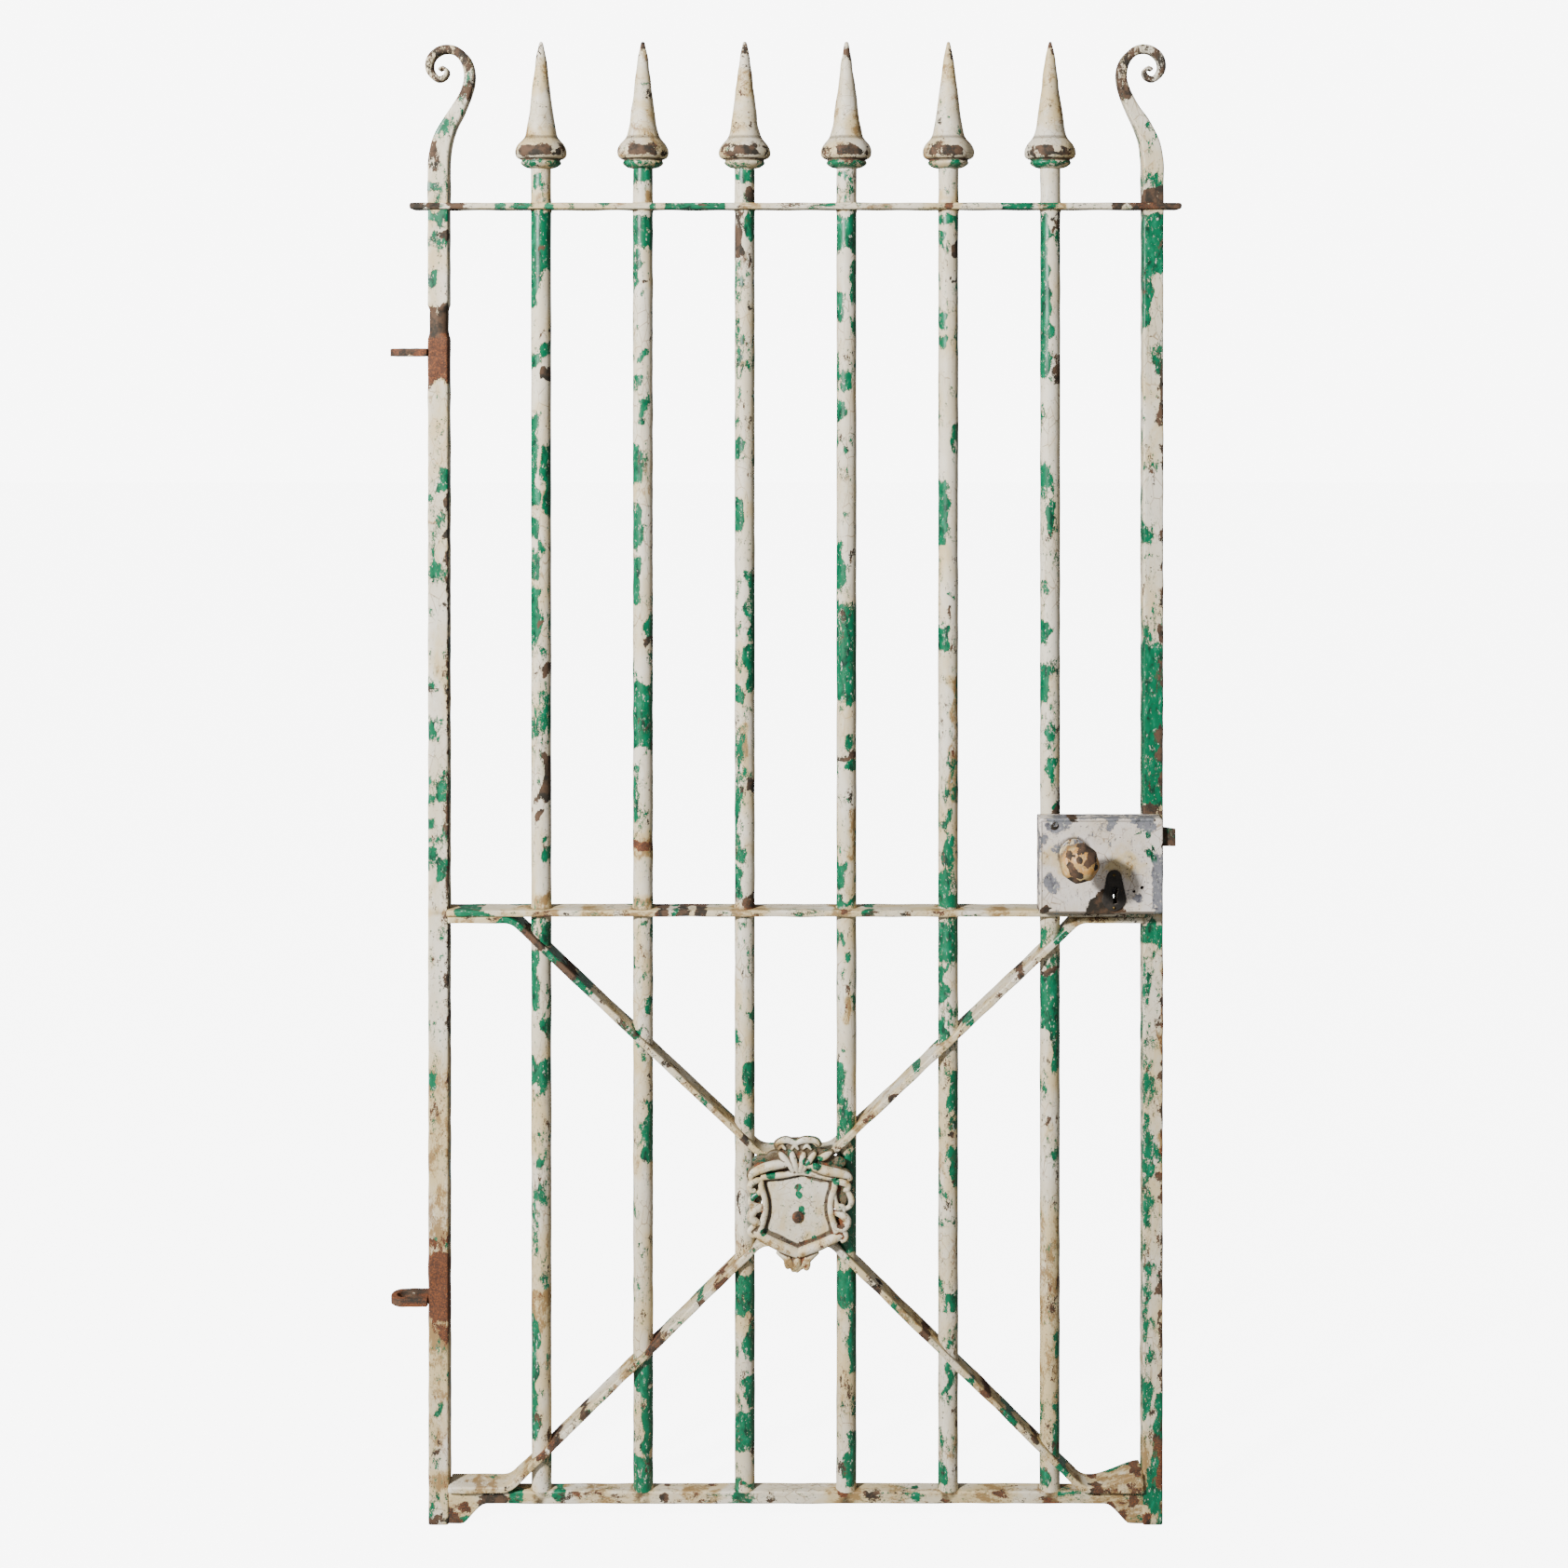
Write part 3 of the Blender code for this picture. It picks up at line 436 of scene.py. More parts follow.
def makeSpecks():
    # small dark dots and pale dust that lie on any finish
    inputs = {"Vector": origin, "Colour": white, "Amount": 0.5}
    tree, given, result = newGroup("specks and dust", inputs, ("Colour",))
    vector = given["Vector"]
    cells = node("TexVoronoi", {"Vector": vector, "Scale": 210.0})
    chosen = node("SeparateColor", {0: cells["Color"]})
    close = calc("LESS_THAN", cells["Distance"], chosen[1] * 0.26)
    some = calc("GREATER_THAN", given["Amount"] * 0.45, chosen[0])
    clump = step(noise(vector, 34, 3), 0.44, 0.58)
    dots = close * some * clump
    dust = step(noise(vector, 300, 5, 0.7), 0.62, 0.82)
    colour = mixed(dust * 0.3, given["Colour"], linear(222, 216, 200))
    feed(result, {"Colour": mixed(dots * 0.85, colour, linear(70, 52, 34))})
    return tree


def makeStain():
    # ochre staining: grainy streaks over any colour, by the share given; and a darkening to dark brown
    # by the darkening input, which is painted shade in hollows with some grime
    inputs = {"Vector": origin, "Colour": white, "Share": 0.2, "Shade And Grime": 0.0}
    tree, given, result = newGroup("ochre stain and shade", inputs, ("Colour",))
    vector = given["Vector"]
    broad = noise(vector, 26, 5, 0.6, 0.4)
    grain = noise(vector, 640, 4, 0.75)
    wash = step(broad + given["Share"] * 0.5, 0.58, 0.84)
    colour = mixed(wash * 0.8, given["Colour"], linear(196, 172, 118))
    patch = noise(vector, 74, 6, 0.65, 0.3)
    deep = step(grain * 0.35 + patch * 0.65 + given["Share"] * 0.32, 0.665, 0.76)
    colour = mixed(deep * 0.85, colour, linear(128, 94, 46))
    # painted shade with some grime: dark brown where the darkening input is high
    shadeAndGrimeMask = step(grain * 0.4 + given["Shade And Grime"], 0.3, 0.95)
    feed(result, {"Colour": mixed(shadeAndGrimeMask * 0.88, colour, linear(58, 45, 29))})
    return tree


def raggedLevel(broad, middling, fine):
    # three sizes of noise added up, then spread out about one half
    return (broad * 0.40 + middling * 0.38 + fine * 0.22 - 0.5) * 1.9 + 0.5


def makeFlaking(rust, specks, stain):
    # top paint flaking off an under layer, and both off the iron. Each share, 0 to 1, moves the level
    # at which a ragged noise cuts through a layer, so a share of one half leaves half of it.
    inputs = {"Vector": origin, "Stretch": (1, 1, 0.45), "Off": 0.2, "Iron": 0.1, "Stain": 0.1,
              "Shade And Grime": 0.0, "Top": linear(218, 209, 190), **greenUnder}
    tree, given, result = newGroup("flaking paint", inputs, ("Colour", "Roughness", "Height", "Bare"))
    place = given["Vector"]
    long = stretched(place, given["Stretch"])
    chips = noise(place, 640, 4, 0.7)
    ragged = raggedLevel(noise(long, 44, 4, 0.6, 0.3), noise(long, 180, 8, 0.68, 0.2), chips)
    level = ragged + given["Off"] * 0.56
    clumps = step(noise(place, 27, 3), 0.46, 0.62)
    flecks = step(noise(long, 330, 7, 0.75), 0.592, 0.612) * clumps
    off = calc("MAXIMUM", step(level, 0.775, 0.79), flecks)
    rim = calc("SUBTRACT", step(level, 0.72, 0.777), off, clamp=True)
    other = node("VectorMath", {0: long, 1: (7.3, 2.1, 4.4)}, operation="ADD")
    raggedIron = raggedLevel(noise(other, 60, 4, 0.6, 0.3), noise(other, 230, 8, 0.7), chips)
    iron = step(raggedIron + given["Iron"] * 0.56, 0.775, 0.79)

    # the top coat: uneven cream, cracked, stained and grimy at its broken edges, and darkened by
    # painted shade with some grime where the darkening input is high
    shaded = mixed(1.0, given["Top"], linear(236, 230, 214), "MULTIPLY")
    top = mixed(step(noise(long, 18, 6, 0.6), 0.35, 0.65), shaded, given["Top"])
    brushed = noise(stretched(long, (1.0, 1.0, 0.3)), 330, 4, 0.6)
    top = mixed(step(brushed, 0.5, 0.75) * 0.35, top, linear(230, 230, 222))
    edges = node("TexVoronoi", {"Vector": long, "Scale": 95.0}, feature="DISTANCE_TO_EDGE")
    crack = (1.0 - step(edges["Distance"], 0.01, 0.035)) * step(noise(long, 30, 4), 0.47, 0.58)
    top = mixed(crack * 0.7, top, linear(124, 96, 62))
    inputs = {"Vector": long, "Colour": top, "Share": given["Stain"], "Shade And Grime": given["Shade And Grime"]}
    top = mixed(rim * 0.45, node("Group", inputs, node_tree=stain), linear(168, 150, 112))
    top = node("Group", {"Vector": place, "Colour": top, "Amount": 0.7}, node_tree=specks)["Colour"]

    # the under layer, scuffed pale and worn dark, with scraps of cream left on it, and darkened by
    # painted shade with some grime where the darkening input is high
    worn = noise(long, 130, 8, 0.7)
    under = mixed(step(worn, 0.52, 0.72), given["Under"], given["Under Light"])
    under = mixed(step(worn, 0.5, 0.36), under, given["Under Dark"])
    scraps = step(noise(long, 300, 7, 0.75), 0.6, 0.62)
    under = mixed(scraps * 0.9, under, linear(204, 204, 188))
    under = mixed(given["Shade And Grime"] * 0.7, under, linear(30, 50, 38))

    rusty = node("Group", {"Vector": place, "Bloom": given["Stain"]}, node_tree=rust)
    colour = mixed(iron, mixed(off, top, under), rusty["Colour"])
    rough = blend(iron, blend(off, 0.5 + chips * 0.2, 0.32), 0.85)
    height = 1.0 - off * 0.5 - iron * 0.35 + rim * 0.12 + brushed * 0.22 + noise(long, 140, 5, 0.6) * 0.5
    height = height + iron * (rusty["Height"] * 0.4)
    bare = calc("MAXIMUM", off, iron)
    feed(result, {"Colour": colour, "Roughness": rough, "Height": height, "Bare": bare})
    return tree


def underCoats(middling, light, dark):
    return {"Under": middling, "Under Light": light, "Under Dark": dark}


greenUnder = underCoats(linear(0, 96, 62), linear(22, 128, 94), linear(6, 48, 34))
greyUnder = underCoats(linear(132, 132, 138), linear(166, 166, 172), linear(88, 86, 92))
rustGroup = makeRust()
specksGroup = makeSpecks()
stainAndShadeGroup = makeStain()
flakingGroup = makeFlaking(rustGroup, specksGroup, stainAndShadeGroup)


def newMaterial(name):
    made = bpy.data.materials.new(name)
    made.use_nodes = True
    return made, made.node_tree, made.node_tree.nodes["Principled BSDF"]


def relief(height, depth):
    return node("Bump", {"Height": height, "Distance": depth * mm, "Strength": 1.0})


def paintMaterial(name, stretch=(1, 1, 0.45), colours=None, metallic=0.0, older=None):
    # paint that takes its wear from the piece. Where the piece's "older" share is 1, the colours in
    # older show under the top coat instead of its usual ones.
    made, tree, shader = newMaterial(name)
    colours = dict(colours or {})
    for key, value in (older or {}).items():
        share = node("Attribute", {}, tree, attribute_name="older")["Fac"]
        colours[key] = mixed(share, colours[key], value)
    worn = node("Attribute", {}, tree, attribute_name="wear")
    shares = node("SeparateColor", {0: worn["Color"]})
    place = node("TexCoord", {}, tree)["Object"]
    inputs = {"Vector": place, "Stretch": stretch, "Off": shares[0], "Iron": shares[1], "Stain": shares[2]}
    paint = node("Group", {}, tree, node_tree=flakingGroup)
    # the wear's fourth value, painted shade with some grime, darkens both coats
    feed(paint.socket.node, {**inputs, "Shade And Grime": worn["Alpha"], **colours})
    feed(shader, {"Base Color": paint["Colour"], "Roughness": paint["Roughness"],
                  "Normal": relief(paint["Height"], 0.35)})
    if metallic:
        feed(shader, {"Metallic": paint["Bare"] * metallic})
    return made


def metalMaterial(name, base, light, rough, dirt, metallic=1.0):
    # old metal: a brushed, cloudy base with rust bloom and dirt by the share given
    made, tree, shader = newMaterial(name)
    place = node("TexCoord", {}, tree)["Object"]
    brushed = noise(stretched(place, (0.12, 1, 1)), 1500, 3, 0.5)
    colour = mixed(step(noise(place, 160, 6, 0.6), 0.35, 0.65), base, light)
    rusty = node("Group", {"Vector": place, "Bloom": 0.5}, node_tree=rustGroup)
    share = step(noise(place, 240, 8, 0.65) + dirt, 0.7, 0.82)
    colour = mixed(share, colour, rusty["Colour"])
    dotted = node("Group", {"Vector": place, "Colour": colour, "Amount": 0.3}, node_tree=specksGroup)
    feed(shader, {"Base Color": dotted["Colour"], "Roughness": blend(share, rough, 0.85),
                  "Metallic": (1.0 - share) * metallic,
                  "Normal": relief(brushed + rusty["Height"] * share, 0.08)})
    return made


uprightPaint = paintMaterial("uprightPaint")
railPaint = paintMaterial("railPaint", stretch=(0.45, 1, 1))
castPaint = paintMaterial("castPaint", stretch=(1, 1, 1))
caseColours = dict(greyUnder, Top=linear(218, 209, 202))
casePaint = paintMaterial("casePaint", (1, 1, 0.8), caseColours, metallic=0.3, older=greenUnder)
knobPaint = paintMaterial("knobPaint", (1, 1, 1), dict(greyUnder, Top=linear(196, 144, 74)))
darkIron = metalMaterial("darkIron", linear(46, 40, 32), linear(74, 66, 54), 0.55, 0.14, 0.6)
blackenedIron = metalMaterial("blackenedIron", linear(24, 20, 16), linear(44, 38, 32), 0.62, 0.08, 0.2)
oiledSteel = metalMaterial("oiledSteel", linear(120, 120, 124), linear(168, 168, 170), 0.36, 0.02)
brassPin = metalMaterial("brassPin", linear(58, 46, 28), linear(96, 78, 46), 0.5, 0.1)
print("materials made")


# the sides of an upright, as (how far round from its front, how far it reaches either way) in
# radians: front is nearly all that shows, and edge is a stile's far right
sideSpans = dict(left=(-0.95, 0.9), middle=(0.0, 0.5), right=(0.95, 0.9), front=(0.0, 2.3), edge=(1.1, 0.62))
# each kind of band: the layer it wears, how strongly, the step to its seed, and how soft its ends
# are in millimetres
bandKinds = dict(green=(0, 0.8, 0, 7), specks=(0, 0.5, 5, 7), rust=(1, 0.8, 11, 3), rusty=(1, 0.58, 21, 14),
                 stain=(2, 0.75, 15, 6), wash=(2, 0.6, 19, 60))


def turnOf(points, centreX):
    # how far round an upright each point is, from its front
    return np.arctan2(points[:, 0] - centreX, -points[:, 1])


def bandShare(points, centreX, bands, seed, soft):
    # how far inside a band each point is. A band is (lowest, highest) in millimetres, listed by its
    # side of the upright whose middle is at centreX; its edges wander by a few millimetres.
    height = points[:, 2] + 6 * mm * lumps(points, 0.022, seed)
    turn = turnOf(points, centreX) + 0.35 * lumps(points, 0.03, seed + 1)
    share = np.zeros(len(points))
    for side, spans in bands.items():
        middle, half = sideSpans[side]
        beside = 1 - easeIn(np.abs(turn - middle), half - 0.35, half + 0.3)
        for low, high in spans:
            share = np.maximum(share, near(height, low * mm, high * mm, soft * mm) * beside)
    return share


def spotShare(points, spots, seed):
    # how near each point is to a spot. A spot is (across from the leaf's middle, height, reach) in mm.
    wander = 0.35 * lumps(points, 0.02, seed)
    share = np.zeros(len(points))
    for across, height, reach in spots:
        away = np.hypot(points[:, 0] - leafX - across * mm, points[:, 2] - height * mm) / (reach * mm)
        share = np.maximum(share, 1 - easeIn(away + wander, 0.6, 1.25))
    return share


def backShare(points, seed, halfDepth):
    # loose patches on the far side, where nothing is chosen by hand
    long = points * np.array([1, 1, 0.35])
    return easeIn(lumps(long, 0.07, seed), 0.1, 0.6) * easeIn(points[:, 1] / halfDepth, 0.2, 0.8)


def uprightWear(mesh, centreX, bands, seed, halfDepth, base=(0.28, 0.17, 0.22)):
    # an upright's wear: its chosen bands, a little everywhere, loose patches behind, stain and
    # darkening where it meets the two upper rails, the darkening being painted shade with some grime,
    # and more dirt towards the ground
    points = coordinates(mesh)
    height = points[:, 2]
    soft = 1.5 * mm
    joints = sum(near(height, low.z - soft, high.z + soft, soft) for low, high in (topRail, midRail))
    dirty = 1 - easeIn(height, 0.15, 1.1)
    corners = easeIn(np.abs(turnOf(points, centreX)), 0.9, 1.4)
    layers = [base[0] + 0.16 * lumps(points, 0.05, seed + 3) + 0.1 * corners,
              base[1] + 0.16 * lumps(points, 0.04, seed + 9),
              base[2] + 0.16 * dirty + 0.16 * lumps(points, 0.08, seed + 13) + 0.35 * joints]
    for kind, spans in bands.items():
        layer, strength, seedStep, soft = bandKinds[kind]
        share = strength * bandShare(points, centreX, spans, seed + seedStep, soft)
        layers[layer] = np.maximum(layers[layer], share)
    green, rust, stain = layers
    green = np.maximum(green, 0.8 * backShare(points, seed + 7, halfDepth))
    # painted shade with some grime: a darker band where the upright passes the rails
    shadeAndGrime = 0.55 * joints * (0.6 + 0.4 * lumps(points, 0.02, seed + 17))
    setWear(mesh, green, rust + 0.06 * dirty, stain, shadeAndGrime)


# the six round bars: unevenness, how much thinner than the CAD bar they start, and the fillet of
# paint at the rails, in millimetres; then each bar's bands by kind and side
roundBars = dict(lump=0.28, paint=0.15, fillet=0.9, filletReach=2.2)
barWear = [
    dict(
        green=dict(
            front=[(1557, 1634), (543, 580)], left=[(1517, 1557), (1435, 1461), (1271, 1386),
            (1224, 1255), (1173, 1207), (1090, 1170), (642, 720), (106, 258)], middle=[(446, 456),
            (1662, 1684)], right=[(1454, 1474), (1255, 1348), (830, 849), (720, 751), (605, 636)],
        ),
        specks=dict(front=[(973, 1048)]),
        rust=dict(
            middle=[(1588, 1594), (1119, 1129), (880, 892)], right=[(1482, 1489), (1424, 1439),
            (1056, 1073), (900, 958)],
        ),
        stain=dict(front=[(1646, 1660), (768, 786), (240, 290)]),
    ),
    dict(
        green=dict(
            front=[(1672, 1688), (1589, 1634), (964, 1051), (168, 205), (40, 86)], left=[(1535, 1590),
            (1411, 1435), (1296, 1342), (1212, 1275), (1142, 1204), (694, 702), (601, 623), (297, 305)],
            middle=[(1442, 1462), (1361, 1401), (745, 753)], right=[(1101, 1129), (640, 660), (449, 530),
            (86, 168)],
        ),
        specks=dict(left=[(873, 964)]),
        rust=dict(front=[(836, 855)], middle=[(1548, 1554)], right=[(1092, 1106)]),
        stain=dict(front=[(768, 784), (828, 860)], right=[(1646, 1662)]),
    ),
    dict(
        green=dict(
            front=[(1668, 1689), (260, 312), (84, 140), (40, 52)], left=[(1322, 1356), (1233, 1283),
            (1023, 1051), (825, 858), (777, 815), (592, 618)], right=[(1600, 1634), (1098, 1185),
            (1033, 1096), (630, 640), (543, 577), (493, 512), (200, 260), (143, 186)],
        ),
        specks=dict(left=[(1360, 1577), (1098, 1185), (860, 1000)]),
        rust=dict(
            left=[(1577, 1634)], middle=[(1441, 1446)], right=[(1646, 1662), (912, 930), (766, 788)],
        ),
        stain=dict(front=[(768, 776)], middle=[(927, 996), (1436, 1450)]),
    ),
    dict(
        green=dict(
            front=[(1584, 1634), (1023, 1151), (768, 784), (337, 462), (268, 319)], left=[(1498, 1539),
            (1374, 1400), (1170, 1221), (790, 825), (716, 745), (523, 577)], middle=[(1411, 1439),
            (1330, 1340), (1253, 1263), (964, 991), (698, 716), (587, 597), (49, 90)],
            right=[(1521, 1572), (940, 951), (183, 268), (49, 118)],
        ),
        specks=dict(front=[(471, 518), (1650, 1689)]),
        rust=dict(front=[(953, 960)]),
        stain=dict(middle=[(620, 660)], right=[(827, 899)]),
    ),
    dict(
        green=dict(
            front=[(1613, 1634), (768, 784), (698, 751)], left=[(1589, 1613), (1492, 1511), (1464, 1481),
            (1218, 1301), (1086, 1117), (775, 810), (646, 698), (599, 627), (43, 74)],
            middle=[(1147, 1158), (821, 860), (155, 205)], right=[(1329, 1374), (512, 564), (412, 468),
            (268, 290)],
        ),
        specks=dict(middle=[(870, 890)], right=[(490, 512)]),
        rust=dict(front=[(484, 487)], middle=[(1132, 1137)], right=[(1576, 1600), (1548, 1556)]),
        stain=dict(front=[(1645, 1656)], right=[(903, 1061)]),
    ),
    dict(
        green=dict(
            front=[(618, 686)], left=[(1433, 1634), (1289, 1318), (1164, 1176), (1097, 1125),
            (1023, 1070), (46, 74)], middle=[(1233, 1271), (977, 986), (930, 958)], right=[(890, 905),
            (562, 618), (206, 226), (84, 156)],
        ),
        specks=dict(front=[(714, 751)], left=[(84, 156)]),
        rust=dict(front=[(686, 694)], right=[(1607, 1634), (1420, 1460), (884, 893)]),
        wash=dict(front=[(80, 400)]),
    ),
]


def barShape(centreX, seed):
    # radius(angle, height) = bar radius + slow lumps + a fillet of paint where it passes a rail
    heights = np.linspace(bottomRail[1].z - 1 * mm, spearLow + 1 * mm, 430)
    radii = np.full(len(heights), barRadius - roundBars["paint"] * mm)
    for level in (bottomRail[1].z, midRail[0].z, midRail[1].z, topRail[0].z, topRail[1].z):
        away = (heights - level) / (roundBars["filletReach"] * mm)
        radii = radii + roundBars["fillet"] * mm * np.exp(-away ** 2)
    rows = [(0, heights[0])] + list(zip(radii, heights)) + [(0, heights[-1])]
    return turned(rows, 36, (centreX, 0, 0), lump=(roundBars["lump"] * mm, 0.045, seed))


for i, centreX in enumerate(barX):
    mesh = newMesh(f"roundBar{i + 1}", *barShape(centreX, 100 + i))
    uprightWear(mesh, centreX, barWear[i], 200 + 20 * i, barRadius)
    addPiece(f"roundBar{i + 1}", mesh, uprightPaint, f"bar_{i + 1}", sharp=50)
print("bars made")

# the spear heads: an outline from the tip down as (radius, height above the bar's top) in millimetres,
# and the heights of its collar, the groove above that, the swell and its rusty patch, the shoulder
# below the blade, and where the rust of the tip begins and is full
spear = dict(
    outline=[
        (0, 157.6), (1.6, 157.0), (2.7, 154.5), (3.9, 149), (5.3, 142), (7.2, 130), (10.4, 105),
        (13.6, 80), (16.4, 58), (18.8, 45.5), (20.8, 39), (24.2, 34.2), (28.4, 29.5), (31.3, 24),
        (32.1, 19), (31.2, 14.6), (28.6, 11.9), (25.6, 10.6), (24.1, 9.6), (24.4, 8.0), (25.2, 6.6),
        (24.2, 4.2), (20.4, 1.4), (17.4, 0.2), (13, -0.4), (0, -0.4),
    ],
    lumps=0.55, collar=(-2, 10), groove=(8.2, 11.4), swell=(12, 30), patch=(14, 27), shoulder=(35, 40),
    tip=(128, 152),
)
for i, centreX in enumerate(barX):
    outline = smoothCurve(spear["outline"], 5)
    outline[:, 0] = np.maximum(outline[:, 0], 0)
    outline = outline * mm + np.array([0, spearLow])
    shape = turned(outline, 56, (centreX, 0, 0), lump=(spear["lumps"] * mm, 0.03, 300 + i))
    mesh = newMesh(f"spearHead{i + 1}", *shape)
    points = coordinates(mesh)
    up = (points[:, 2] - spearLow) / mm
    groove = near(up, *spear["groove"], 1.2)
    green = 0.12 + 0.16 * lumps(points, 0.03, 310 + i) + 0.42 * near(up, *spear["collar"], 3)
    rust = 0.16 + 0.26 * lumps(points, 0.025, 320 + i) + 0.3 * groove + 0.24 * near(up, *spear["swell"], 5)
    rust = rust + 0.4 * easeIn(up, *spear["tip"])
    turn = np.abs(turnOf(points, centreX) + 0.5 * lumps(points, 0.02, 340 + i))
    rust = np.maximum(rust, 0.95 * near(up, *spear["patch"], 3) * (1 - easeIn(turn, 0.35, 0.85)))
    stain = 0.36 + 0.3 * lumps(points, 0.05, 330 + i)
    # the groove and the shoulder are darkened: painted shade with some grime
    setWear(mesh, green, rust, stain, 0.9 * groove + 0.5 * near(up, *spear["shoulder"], 2))
    addPiece(f"spearHead{i + 1}", mesh, castPaint, f"spear_{i + 1}", sharp=60)
print("spears made")

# the two square stiles: half is half their width, up to the height where the scroll starts. The neck
# is a round part of the heel stile, (start and end above its upper eye, radius). Thinned is (from,
# to, by) for its depth, and the scroll is (towards the gate, height, half width), in millimetres.
stiles = dict(half=12.7, straight=1560, corner=2.6, lump=0.35, neck=(17.6, 52.5, 12.1),
              thinned=(1700, 1790, 3.2))
stileScroll = [
    (0, 1560, 12.7), (0, 1620, 12.7), (0, 1660, 12.9), (0, 1680, 13.0), (0.5, 1700, 12.8),
    (4.5, 1722, 11.8), (13, 1742, 10.2), (24, 1761, 8.6), (34, 1782, 7.3), (38.5, 1803, 6.6),
    (34, 1822, 6.1), (20.5, 1835, 5.7), (4, 1836, 5.4), (-9, 1826, 5.1), (-11, 1811, 4.7),
    (-2, 1800, 4.0), (7, 1801.5, 3.3), (10.5, 1808.5, 2.8), (5.5, 1813.5, 2.3), (0.5, 1810.5, 1.8),
]
stileWear = dict(
    heel=dict(
        green=dict(
            front=[(1621, 1634), (900, 914)], left=[(1544, 1562), (1272, 1282), (977, 996), (1035, 1045),
            (863, 878), (827, 850), (542, 568), (1655, 1672)], middle=[(1351, 1360), (130, 152)],
            right=[(1290, 1314), (805, 830)],
        ),
        specks=dict(front=[(1580, 1610)]),
        rust=dict(front=[(1420, 1518), (254, 338), (0, 10)], middle=[(82, 90)], right=[(1598, 1612)]),
        rusty=dict(front=[(1770, 1860), (232, 254), (338, 366)], left=[(1680, 1760)], edge=[(600, 1300)]),
        stain=dict(front=[(212, 376), (1246, 1256), (1418, 1482), (40, 70)]),
        wash=dict(front=[(80, 620)]),
    ),
    latch=dict(
        green=dict(
            front=[(1554, 1634), (890, 1101), (720, 751)], left=[(1485, 1554), (1221, 1249), (434, 454),
            (134, 183)], middle=[(1398, 1408), (14, 100)], right=[(1424, 1451), (100, 160), (1560, 1590)],
        ),
        specks=dict(front=[(1101, 1160)], left=[(200, 720)]),
        rust=dict(
            front=[(1634, 1662), (882, 896)], left=[(2, 14)], edge=[(1330, 1440), (1180, 1240),
            (950, 990), (480, 495), (400, 440), (580, 630), (0, 110), (280, 320)],
        ),
        rusty=dict(front=[(1770, 1860)], edge=[(40, 1440)]),
        stain=dict(front=[(0, 110)], edge=[(400, 900)]),
    ),
)


def stileShape(centreX, inward, neck, seed):
    # a square section carried up the stile and round its scroll; at the neck it eases to a circle
    straight = np.array([(0, z, stiles["half"]) for z in np.arange(0, stiles["straight"], 6.0)])
    rows = np.concatenate([straight, evenly(smoothCurve(stileScroll, 24), 3.0)]) * mm
    rows = rows[np.concatenate([[True], np.linalg.norm(np.diff(rows[:, :2], axis=0), axis=1) > 1 * mm])]
    stations = np.stack([centreX + inward * rows[:, 0], np.zeros(len(rows)), rows[:, 1]], axis=-1)
    thinStart, thinEnd, thinning = stiles["thinned"]
    above = easeIn(rows[:, 1], thinStart * mm, thinEnd * mm)
    half = rows[:, 2]
    deep = stileDepth - 0.3 * mm - above * thinning * mm
    corner = (stiles["corner"] + above * 1.4) * mm
    if neck:
        start, end, radius = stiles["neck"]
        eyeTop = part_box("upper_hinge_eye")[1].z
        share = near(stations[:, 2], eyeTop + start * mm, eyeTop + end * mm, 1.5 * mm)
        half, deep, corner = (size * (1 - share) + radius * mm * share for size in (half, deep, corner))
    corner = np.minimum(corner, half * 0.98)
    return carried(stations, half - 0.1 * mm, deep, corner, 1.5 * mm, sectionParts(4, 5),
                   (stiles["lump"] * mm, 0.04, seed), sides=-acrossLine(stations))


for label, centreX, inward in (("heel", heelX, 1), ("latch", latchX, -1)):
    mesh = newMesh(label + "Stile", *stileShape(centreX, inward, label == "heel", 400 + len(label)))
    uprightWear(mesh, centreX, stileWear[label], 420 + 40 * len(label), stileDepth)
    addPiece(label + "Stile", mesh, uprightPaint, label + "_stile", sharp=50)
print("stiles made")


def flatWear(mesh, plan, seed, joints):
    # a rail's or a brace's wear: its chosen spots of green, rust and stain, worn edges, loose patches
    # behind, and stain and darkening round what passes through it, as (x, reach); the darkening is
    # painted shade with some grime
    points = coordinates(mesh)
    edge = easeIn(np.abs(points[:, 1]), 0.8 * points[:, 1].max(), points[:, 1].max())
    off = plan["base"][0] + 0.18 * lumps(points, 0.05, seed) + 0.12 * edge
    off = np.maximum(off, 0.86 * spotShare(points, plan["green"], seed + 1))
    off = np.maximum(off, 0.75 * backShare(points, seed + 2, topRail[1].y))
    iron = plan["base"][1] + 0.2 * lumps(points, 0.03, seed + 3) + 0.16 * edge
    iron = np.maximum(iron, 0.85 * spotShare(points, plan["rust"], seed + 4))
    ochre = plan["base"][2] + 0.2 * lumps(points, 0.06, seed + 5)
    ochre = np.maximum(ochre, 0.66 * spotShare(points, plan["stain"], seed + 6))
    # painted shade with some grime: darker round each bar or stile that passes through
    shadeAndGrime = np.zeros(len(points))
    for x, reach in joints:
        away = np.hypot(points[:, 0] - x, points[:, 1])
        shadeAndGrime = np.maximum(shadeAndGrime, 0.8 * (1 - easeIn(away, reach, reach + 5 * mm)))
    shadeAndGrime *= 0.6 + 0.4 * lumps(points, 0.015, seed + 7)
    setWear(mesh, off, iron, ochre + 0.4 * shadeAndGrime, shadeAndGrime)


